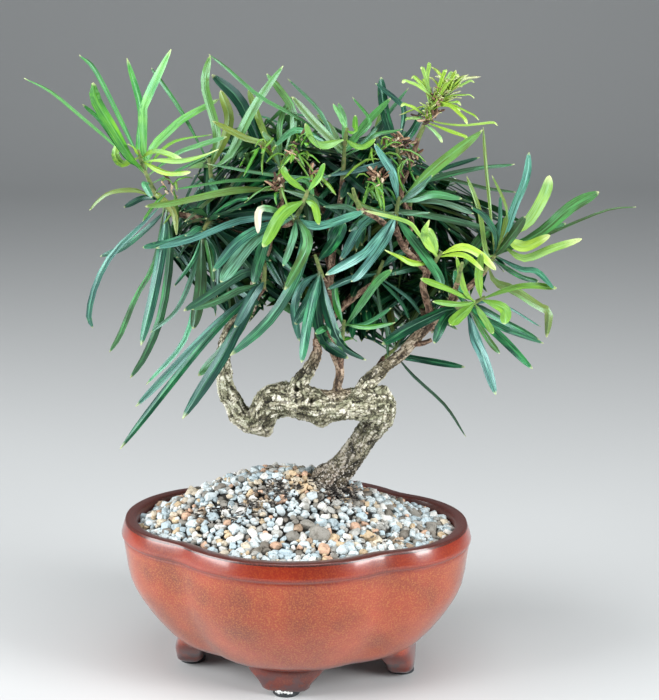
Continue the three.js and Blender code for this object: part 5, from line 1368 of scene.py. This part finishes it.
def leaf_skin(name, deep, middle, pale, roughness, pale_end):
    """Leathery leaf: waxy above with a pale midrib and faint lengthwise veins, dull and paler
    beneath, with a yellower tip."""
    material, tree, shader = start_material(
        name, Roughness=roughness, Specular_IOR_Level=0.8, Specular_Tint=srgb("b0e0dc"), Coat_Weight=0.12,
        Coat_Roughness=0.2,
    )
    colours = bpy.context.scene.bonsai_tree
    spot = add_node(tree, "UVMap", uv_map="UVMap").outputs["UV"]
    split = add_node(tree, "SeparateXYZ", {0: spot})
    tones = add_node(tree, "Attribute", attribute_name="leaf")
    tone = add_node(tree, "SeparateColor", {0: tones})
    place = add_node(tree, "TexCoord").outputs["Object"]
    # Veins run along the blade, about 7 mm by 85 mm, and a broad mottle shifts the green
    in_mm = add_node(tree, "VectorMath", {0: spot, 1: (7, 85, 0)}, operation="MULTIPLY")
    veins = add_node(tree, "VectorMath", {0: in_mm, 1: (1 / 0.6, 1 / 26, 1)}, operation="MULTIPLY")
    vein = add_node(tree, "TexNoise", {"Vector": veins, "Scale": 1.0, "Detail": 2})
    mottle = add_node(tree, "TexNoise", {"Vector": place, "Scale": per_mm(16), "Detail": 3})
    blend = add_node(tree, "Math", {0: vein, 1: 1.9, 2: mottle}, operation="MULTIPLY_ADD")
    blend = add_node(tree, "Math", {0: tone, 1: 0.75, 2: blend}, operation="MULTIPLY_ADD")
    green = add_node(tree, "MapRange", {0: blend, "From Min": 1.3, "From Max": 2.35})
    green = add_node(tree, "ValToRGB", {0: green}, stops=((0.1, deep), (0.5, middle), (0.9, pale)))
    # Blue-green waxy bloom mixed with a painted pale sheen, streaked along the veins
    rubbed = add_node(
        tree, "MapRange", {0: vein, "From Min": 0.42, "From Max": 0.6, "To Min": 0.25, "To Max": 1.1},
    )
    bloom_and_sheen_share = add_node(tree, "Math", {0: tone.outputs[1], 1: rubbed}, operation="MULTIPLY")
    bloom_and_sheen = add_node(tree, "Mix", {0: bloom_and_sheen_share, 6: green, 7: colours.bloom_and_sheen})
    aged = add_node(tree, "Mix", {0: tone.outputs[2], 6: bloom_and_sheen, 7: colours.yellowing})
    # Pale midrib, and the yellow-green tip
    rib = add_node(
        tree, "ValToRGB", {0: split.outputs["X"]},
        stops=((0.45, 0.0), (0.485, 0.26), (0.515, 0.26), (0.55, 0.0)),
    )
    ribbed = add_node(tree, "Mix", {0: rib, 6: aged, 7: colours.midrib})
    end = add_node(
        tree, "ValToRGB", {0: split.outputs["Y"]},
        stops=((0.0, 0.35), (0.08, 0.0), (pale_end, 0.0), (1.0, 0.8)),
    )
    tipped = add_node(tree, "Mix", {0: end, 6: ribbed, 7: colours.tip})
    beneath = add_node(tree, "Math", {0: split.outputs["X"], 1: 1.0}, operation="GREATER_THAN")
    backed = add_node(tree, "Mix", {0: 0.4, 6: tipped, 7: colours.underside})
    both = add_node(tree, "Mix", {0: beneath, 6: tipped, 7: backed})
    dead = add_node(tree, "ValToRGB", {0: split.outputs["Y"]}, stops=((0.42, 0.0), (0.6, 1.0)))
    dead = add_node(tree, "Math", {0: dead, 1: tones.outputs["Alpha"]}, operation="MULTIPLY")
    withered = add_node(tree, "Mix", {0: dead, 6: both, 7: colours.withered})
    set_inputs(tree, shader, {"Base Color": withered})
    bump = add_node(tree, "Bump", {"Strength": 0.9, "Distance": 0.2 * MM, "Height": vein})
    set_inputs(tree, shader, {"Normal": bump})
    return material


def add_stem(bm, stem, start):
    """A thin tube along a shoot's stem, rooted inside the wood it springs from."""
    rings = []
    points = [start, stem[0].lerp(stem[1], 0.5), stem[1]]
    for step in range(STEM_STEPS + 1):
        t = step / STEM_STEPS
        centre, travel = spline(points, t), heading(points, min(max(t, 0.01), 0.99))
        side = travel.cross(Vector((0.3, -1, 0.2))).normalized()
        up = side.cross(travel)
        turns = [i / STEM_SIDES * math.tau for i in range(STEM_SIDES)]
        radius = mix(STEM_FOOT, STEM_TOP, t)
        rings.append([centre + (up * math.cos(turn) + side * math.sin(turn)) * radius for turn in turns])
    tube = bmesh.new()
    lofted(tube, rings)
    bmesh.ops.recalc_face_normals(tube, faces=tube.faces)
    for face in tube.faces:
        face.material_index = 1
    tube.verts.layers.float_color.new("leaf")
    mesh = bpy.data.meshes.new("stem")
    tube.to_mesh(mesh)
    tube.free()
    bm.from_mesh(mesh)
    bpy.data.meshes.remove(mesh)


def vert_tree(node):
    """The solid's verts in millimetres about the pot's axis."""
    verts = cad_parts[node].data.vertices
    found = kdtree.KDTree(len(verts))
    for i, vert in enumerate(verts):
        found.insert((vert.co - POT_AXIS) / MM, i)
    found.balance()
    return found


def arrival_at(end):
    """Which way the wood or stem that ends at this place arrives there."""
    for route in [TRUNK, *BRANCHES]:
        if route[-1][:3] == end:
            return heading(limb_points(route), 1, 0.25)
    stem = next(stem for _, _, _, stem, _ in SHOOTS if stem[-1] == end)
    return (seen(*stem[-1]) - seen(*stem[0])).normalized()


class Crowd:
    """The places that leaves already take, in cells, so that a new leaf can keep clear of them."""

    def __init__(self):
        self.cells = {}
        self.shown = {}

    def samples(self, route):
        """Places along a leaf, beyond its crowded foot."""
        return [spline(route, 0.3 + 0.7 * i / 11) for i in range(12)]

    def add(self, route):
        """Takes up a leaf's places."""
        for place in self.samples(route):
            self.cells.setdefault(tuple(int(part // CROWD_CELL) for part in place), []).append(place)

    def add_shown(self, route):
        """Keeps a leaf's apparent places, for nothing to be drawn in front of them."""
        for i in range(25):
            place = spline(route, i / 24)
            x, z = looked_at(place)
            self.shown.setdefault((int(x // SHOWN_CELL), int(z // SHOWN_CELL)), []).append((x, z, place.y))

    def hides_shown(self, route, start=0.0):
        """Whether a leaf, from a share of its length on, is in front of a leaf that the front shows."""
        for i in range(19):
            place = spline(route, mix(start, 1, i / 18))
            x, z = looked_at(place)
            column, row = int(x // SHOWN_CELL), int(z // SHOWN_CELL)
            for near in ((column + i, row + j) for i in (-1, 0, 1) for j in (-1, 0, 1)):
                for shown_x, shown_z, depth in self.shown.get(near, ()):
                    if place.y < depth + 2 and math.hypot(x - shown_x, z - shown_z) < SHOWN_CELL:
                        return True
        return False

    def is_clear(self, route, room):
        """Whether a leaf keeps this far from all others."""
        for place in self.samples(route):
            x, y, z = (int(part // CROWD_CELL) for part in place)
            for near in ((x + i, y + j, z + k) for i in (-1, 0, 1) for j in (-1, 0, 1) for k in (-1, 0, 1)):
                if any((place - other).length < room for other in self.cells.get(near, ())):
                    return False
        return True


def inside_crown(point, inset):
    """Whether a place looks, from the front, to be in the crown by at least an inset."""
    x, z = looked_at(point)
    inside = False
    for (ax, az), (bx, bz) in zip(CROWN_OUTLINE, CROWN_OUTLINE[1:] + CROWN_OUTLINE[:1]):
        if (az > z) != (bz > z) and x < ax + (bx - ax) * (z - az) / (bz - az):
            inside = not inside
        along = Vector((bx - ax, bz - az))
        share = min(max(Vector((x - ax, z - az)).dot(along) / along.length_squared, 0), 1)
        if math.hypot(x - ax - along.x * share, z - az - along.y * share) < inset:
            return False
    return inside


def deep_inside(point):
    """Whether a place is in the crown, seen from the front, and in the round."""
    offset = point - CROWN_CENTRE
    share = sum((part / reach) ** 2 for part, reach in zip(offset, CROWN_REACH))
    return share < 1 and inside_crown(point, CROWN_INSET)


def filling_leaf(stem, draw):
    """One of the many leaves deep in the crown."""
    root = stem[0].lerp(stem[1], draw.uniform(0.1, 1))
    outward = (root - CROWN_CENTRE).normalized()
    way = Vector((draw.gauss(0, 1), draw.gauss(0, 1), draw.gauss(0.1, 0.8))).normalized() + outward * 0.6
    length, droop, width = (draw.uniform(*ends) for ends in (FILLING_LENGTH, FILLING_DROOP, FILLING_WIDTH))
    way = way.normalized() * length
    route = [root + way * t - Vector((0, 0, droop * length * t * t)) for t in SPRUNG_STEPS]
    facing = Vector((outward.x * 0.6, outward.y * 0.6 - 0.2, 0.75)).normalized()
    return route, width, facing


def hooked(route):
    """A young leaf's route whose tip curls over."""
    travel = (route[-1] - route[-2]).normalized()
    hook = route[-1] + travel * 1.8 + Vector((travel.x * 0.6, 0, -1)).normalized() * 2.8
    return [spline(route, t) for t in (0, 0.3, 0.6, 0.85, 1)] + [hook]


def grow_shoot(index, templates, materials, crowd):
    """One leafy stem: the leaves that the front shows, those behind them, and the filling of the crown."""
    name, colour, more, ends, shown = SHOOTS[index]
    stem = [seen(*end) for end in ends]
    solid = vert_tree(name)
    draw = random.Random(index + 1)
    bm = bmesh.new()
    bm.verts.layers.float_color.new("leaf")
    bm.loops.layers.uv.new("UVMap")
    add_stem(bm, stem, stem[0] - arrival_at(ends[0]) * 2)
    leaves = []
    for order, leaf in enumerate(shown):
        routes = [shown_route(stem, leaf, order, bend) for bend in BENDS]
        route = min(routes, key=lambda one: round(solid.find(one[-1])[2], 1))
        width = leaf[0]
        if name == "shoot_top_young":
            route, width = hooked(route), width * HOOKED_NARROWING
        leaves.append((route, width, FRONT_FACING))
    for order in range(more):
        pick = draws(index * 100 + order + 1)
        tries = [drawn_leaf(stem, pick, order, more) for _ in range(DRAWN_TRIES)]
        best = min(tries, key=lambda one: round(solid.find(one[0][-1])[2], 1))
        apart = solid.find(best[0][-1])[2] > DRAWN_GAP or crowd.hides_shown(best[0], HIDING_START)
        if not apart and inside_crown(best[0][-1], 0):
            leaves.append(best)
    outer = len(leaves)
    for route, *_ in leaves:
        crowd.add(route)
    for _ in range(FILLING_LEAVES[colour]):
        for _ in range(FILLING_TRIES):
            leaf = filling_leaf(stem, draw)
            if all(deep_inside(place) for place in leaf[0][1:]):
                if crowd.is_clear(leaf[0], FILLING_ROOM) and not crowd.hides_shown(leaf[0]):
                    crowd.add(leaf[0])
                    leaves.append(leaf)
                    break
    for order, (route, width, facing) in enumerate(leaves):
        tones = OWN_TONES.get((name, order)) or crown_leaf(name, order >= outer, draw)
        rows = DEEP_ROWS if order >= outer else LEAF_ROWS
        add_leaf(bm, templates[rows], rows, route, width, facing, tones, draw)
    piece = make_piece(bm, name + "_leaves", materials, FOLIAGE_SLOTS[colour], name)
    piece.data.set_sharp_from_angle(angle=LEAF_CREASE)


def dry_bracts():
    """Brown papery bracts and the stubs of old shoots."""
    material, tree, shader = start_material("dry_bracts", Roughness=0.75)
    tones = add_node(tree, "Attribute", attribute_name="leaf")
    tone = add_node(tree, "SeparateColor", {0: tones})
    colour = add_node(
        tree, "ValToRGB", {0: tone},
        stops=((0.1, "3c2a22"), (0.4, "7a5a46"), (0.7, "b89678"), (0.95, "dccbb0")),
    )
    set_inputs(tree, shader, {"Base Color": colour})
    return material


def make_buds(templates, skins):
    """Young leaves and dry bracts where shoots are about to grow."""
    draw = random.Random(77)
    bm = bmesh.new()
    bm.verts.layers.float_color.new("leaf")
    bm.loops.layers.uv.new("UVMap")
    for x, z, depth, spread, young, dry, upright in BUDS:
        centre = seen(x, z, depth)
        for i in range(young + dry):
            fresh = i < young
            root = centre + Vector([draw.gauss(0, spread * 0.4) for _ in range(3)])
            way = Vector((draw.gauss(0, 1), draw.gauss(-0.4, 0.7), draw.gauss(0.6, 0.8))).normalized()
            length = draw.uniform(*YOUNG_LENGTH) if fresh else draw.uniform(*BRACT_LENGTH)
            drop = -draw.uniform(0.6, 1.5) if fresh else 0.2
            if fresh and upright:
                way = Vector((draw.gauss(0.1, 0.7), draw.gauss(-0.3, 0.6), draw.gauss(1.1, 0.5))).normalized()
                drop = -draw.uniform(0, 0.5)
            curl = Vector((draw.gauss(0, 0.5), draw.gauss(0, 0.4), drop))
            route = [root + (way * t + curl * t * t * t * 0.8) * length for t in (0, 0.4, 0.75, 1)]
            first = len(bm.faces)
            dryness = draw.uniform(0, 0.6) * upright
            if fresh:
                tones = [draw.uniform(0.2, 1), 0, draw.uniform(0.1, 0.5), dryness]
            else:
                tones = [draw.random(), 0, 0, 0]
            width = draw.uniform(*BUD_LEAF_WIDTH)
            add_leaf(bm, templates[DEEP_ROWS], DEEP_ROWS, route, width, Vector((0, -0.6, 0.8)), tones, draw)
            bm.faces.ensure_lookup_table()
            for face in bm.faces[first:]:
                face.material_index = (2 if upright else 0) if fresh else 1
    make_piece(bm, "buds", [skins["bright"], dry_bracts(), skins["yellow"]], "new_leaf")


def make_foliage():
    """All leafy stems, and the buds among them."""
    colours = bpy.context.scene.bonsai_tree
    skins = {
        "dark": leaf_skin(
            "mature_leaf", colours.mature_dark, colours.mature, colours.mature_light, 0.34, 0.965,
        ),
        "bright": leaf_skin("young_leaf", colours.young_dark, colours.young, colours.young_light, 0.4, 0.95),
        "yellow": leaf_skin("new_leaf", colours.new_dark, colours.new, colours.new_light, 0.45, 0.8),
    }
    # Young stem: green, with fine ridges where the leaves run down into it
    stem = clouded_finish(
        "green_stem", 3, ((0.3, "4f5f35"), (0.5, "6f8248"), (0.7, "8d8a5c")), 3, Roughness=0.5, IOR=1.45,
    )
    templates = {rows: leaf_template(rows) for rows in (LEAF_ROWS, DEEP_ROWS)}
    crowd = Crowd()
    for _, _, _, ends, shown in SHOOTS:
        line = [seen(*end) for end in ends]
        for order, leaf in enumerate(shown):
            crowd.add_shown(shown_route(line, leaf, order, 0))
    for index, (_, colour, *_) in enumerate(SHOOTS):
        grow_shoot(index, templates, [skins[colour], stem], crowd)
    make_buds(templates, skins)
    for template in templates.values():
        bpy.data.meshes.remove(template)


# Stage


def add_softbox(name, place, size, power, target=(0, 0, 0.2)):
    light = bpy.data.lights.new(name, "AREA")
    light.shape = "RECTANGLE"
    light.size, light.size_y = size
    light.energy = power
    lamp = bpy.data.objects.new(name, light)
    lamp.location = Vector(place) + POT_AXIS
    lamp.rotation_euler = (Vector(target) - Vector(place)).to_track_quat("-Z", "Y").to_euler()
    bpy.context.scene.collection.objects.link(lamp)


def make_stage():
    settings = bpy.context.scene.bonsai_stage
    bpy.context.scene.view_settings.view_transform = "Standard"
    bm = bmesh.new()
    bmesh.ops.create_grid(bm, x_segments=1, y_segments=1, size=4)
    far = [edge for edge in bm.edges if all(vert.co.y > 3.9 for vert in edge.verts)]
    wall = bmesh.ops.extrude_edge_only(bm, edges=far)["geom"]
    bmesh.ops.translate(
        bm, vec=(0, 0, 4), verts=[part for part in wall if isinstance(part, bmesh.types.BMVert)],
    )
    bend = [edge for edge in bm.edges if all(vert.co.y > 3.9 and vert.co.z < 0.1 for vert in edge.verts)]
    bmesh.ops.bevel(bm, geom=bend, offset=1.5, segments=12, profile=0.5, affect="EDGES", material=-1)
    floor = loose_object(bm, "studio_floor")
    # Evenly painted, matt boards
    coat = clouded_finish("studio_floor", 600, ((0, settings.floor), (1, settings.floor)), Roughness=0.7)
    floor.data.materials.append(coat)
    floor.data.shade_smooth()
    for name, place, size, power in SOFTBOXES:
        add_softbox(name, place, size, power * settings.light_level)
    world = bpy.data.worlds.new("studio")
    bpy.context.scene.world = world
    world.use_nodes = True
    background = world.node_tree.nodes["Background"]
    background.inputs["Color"].default_value = srgb("e9edf0")
    background.inputs["Strength"].default_value = settings.fill_level
    camera = bpy.data.cameras.new("photo_camera")
    camera.lens = VIEW_LENS
    camera.sensor_width = 36
    camera.sensor_fit = "AUTO"
    view = bpy.data.objects.new("photo_camera", camera)
    view.location = POT_AXIS + Vector((0, -VIEW_DISTANCE * MM, VIEW_HEIGHT * MM))
    view.rotation_euler = (math.pi / 2 - VIEW_PITCH, 0, VIEW_YAW)
    bpy.context.scene.collection.objects.link(view)
    bpy.context.scene.camera = view


def paint(name, description, colour):
    """A colour property with a hex colour as its default."""
    return bpy.props.FloatVectorProperty(
        name=name, description=description, subtype="COLOR", size=3, min=0, max=1, default=srgb(colour)[:3],
    )


class PotSettings(bpy.types.PropertyGroup):
    """Colours of the pot's glaze."""
    glaze: paint("Glaze", "Main colour of the glaze", "963611")
    glaze_dark: paint("Dark glaze", "Glaze where it clouds darker", "782c0f")
    glaze_light: paint("Light glaze", "Glaze where it clouds lighter", "ab411d")
    speck: paint("Specks", "Fine amber crystals in the glaze", "c6843c")
    smudge: paint("Smudges", "Thin purple glaze low on the feet", "4a2a2c")
    rim: paint("Rim", "Dark glaze on the flat rim", "4c211c")
    rim_edge: paint("Rim line", "Line where the glaze breaks at the rim's outer edge", "241312")


class GravelSettings(bpy.types.PropertyGroup):
    """Loose stones on the mound."""
    seed: bpy.props.IntProperty(
        name="Seed", description="Another number lays the stones out another way", default=4, min=0,
    )


class TreeSettings(bpy.types.PropertyGroup):
    """Colours of the bark and the leaves."""
    bark: paint("Bark", "Flaking bark of the trunk", "8a8873")
    bark_crack: paint("Bark cracks", "Bottom of the cracks in the bark", "211d18")
    lichen: paint("Lichen", "Grey-green crust on the bark", "a9b39a")
    young_bark: paint("Young bark", "Smooth bark of the twigs", "795c4b")
    mature_dark: paint("Mature leaf, dark", "Darkest green of the mature leaves", "042217")
    mature: paint("Mature leaf", "Main green of the mature leaves", "0a4428")
    mature_light: paint("Mature leaf, light", "Lightest green of the mature leaves", "38924e")
    young_dark: paint("Young leaf, dark", "Darkest green of last season's leaves", "24662c")
    young: paint("Young leaf", "Main green of last season's leaves", "3e9628")
    young_light: paint("Young leaf, light", "Lightest green of last season's leaves", "7abe35")
    new_dark: paint("New leaf, dark", "Darkest green of the newest leaves", "7aa332")
    new: paint("New leaf", "Main green of the newest leaves", "98c02c")
    new_light: paint("New leaf, light", "Lightest green of the newest leaves", "b2d23e")
    # This colour serves both as a waxy bloom and as a painted sheen on the leaves
    bloom_and_sheen: paint("Bloom and sheen", "Blue-green waxy bloom", "82bebc")
    yellowing: paint("Yellowing", "Leaves that turn", "93a03c")
    midrib: paint("Midrib", "Line along the middle of a leaf", "79b183")
    tip: paint("Leaf tip", "Yellow-green end of a leaf", "dfe6a8")
    underside: paint("Underside", "Dull back of a leaf", "5f9a5a")
    withered: paint("Withered", "Dry leaves", "d9cfb8")


class StageSettings(bpy.types.PropertyGroup):
    """Floor and light."""
    floor: paint("Floor", "Colour of the floor and the backdrop", "c9cccd")
    light_level: bpy.props.FloatProperty(
        name="Light", description="Strength of the softboxes, as a share", default=1, min=0, subtype="FACTOR",
    )
    fill_level: bpy.props.FloatProperty(
        name="Fill", description="Strength of the light from all round", default=0.22, min=0,
    )


class BONSAI_OT_pot(bpy.types.Operator):
    """Glazed pot with its feet, rubber pads and glue"""
    bl_idname = "bonsai.pot"
    bl_label = "Pot"

    def execute(self, context):
        make_pot()
        make_pads()
        make_glue()
        return {"FINISHED"}


class BONSAI_OT_ground(bpy.types.Operator):
    """Soil, drain screens, gravel and mulch"""
    bl_idname = "bonsai.ground"
    bl_label = "Gravel and soil"

    def execute(self, context):
        finish_inner_nodes()
        make_gravel()
        make_mulch()
        return {"FINISHED"}


class BONSAI_OT_wood(bpy.types.Operator):
    """Trunk and branches"""
    bl_idname = "bonsai.wood"
    bl_label = "Wood"

    def execute(self, context):
        make_wood()
        return {"FINISHED"}


class BONSAI_OT_foliage(bpy.types.Operator):
    """Leafy shoots"""
    bl_idname = "bonsai.foliage"
    bl_label = "Foliage"

    def execute(self, context):
        make_foliage()
        return {"FINISHED"}


class BONSAI_OT_stage(bpy.types.Operator):
    """Floor, lights and camera"""
    bl_idname = "bonsai.stage"
    bl_label = "Stage"

    def execute(self, context):
        make_stage()
        return {"FINISHED"}


STEPS = (BONSAI_OT_pot, BONSAI_OT_ground, BONSAI_OT_wood, BONSAI_OT_foliage, BONSAI_OT_stage)
SETTINGS = {
    "bonsai_pot": PotSettings, "bonsai_gravel": GravelSettings, "bonsai_tree": TreeSettings,
    "bonsai_stage": StageSettings,
}


class BONSAI_PT_panel(bpy.types.Panel):
    bl_idname = "BONSAI_PT_panel"
    bl_label = "Buddhist pine bonsai"
    bl_space_type = "VIEW_3D"
    bl_region_type = "UI"
    bl_category = "Bonsai"

    def draw(self, context):
        for step in STEPS:
            self.layout.operator(step.bl_idname)
        for name, kind in SETTINGS.items():
            settings = getattr(context.scene, name)
            for key in kind.__annotations__:
                self.layout.prop(settings, key)


CLASSES = (*SETTINGS.values(), *STEPS, BONSAI_PT_panel)


def register():
    for kind in CLASSES:
        bpy.utils.register_class(kind)
    for name, kind in SETTINGS.items():
        setattr(bpy.types.Scene, name, bpy.props.PointerProperty(type=kind))


def unregister():
    for name in SETTINGS:
        delattr(bpy.types.Scene, name)
    for kind in reversed(CLASSES):
        bpy.utils.unregister_class(kind)


def main():
    register()
    bpy.ops.bonsai.pot()
    bpy.ops.bonsai.ground()
    bpy.ops.bonsai.wood()
    bpy.ops.bonsai.foliage()
    bpy.ops.bonsai.stage()


if __name__ == "__main__":
    main()
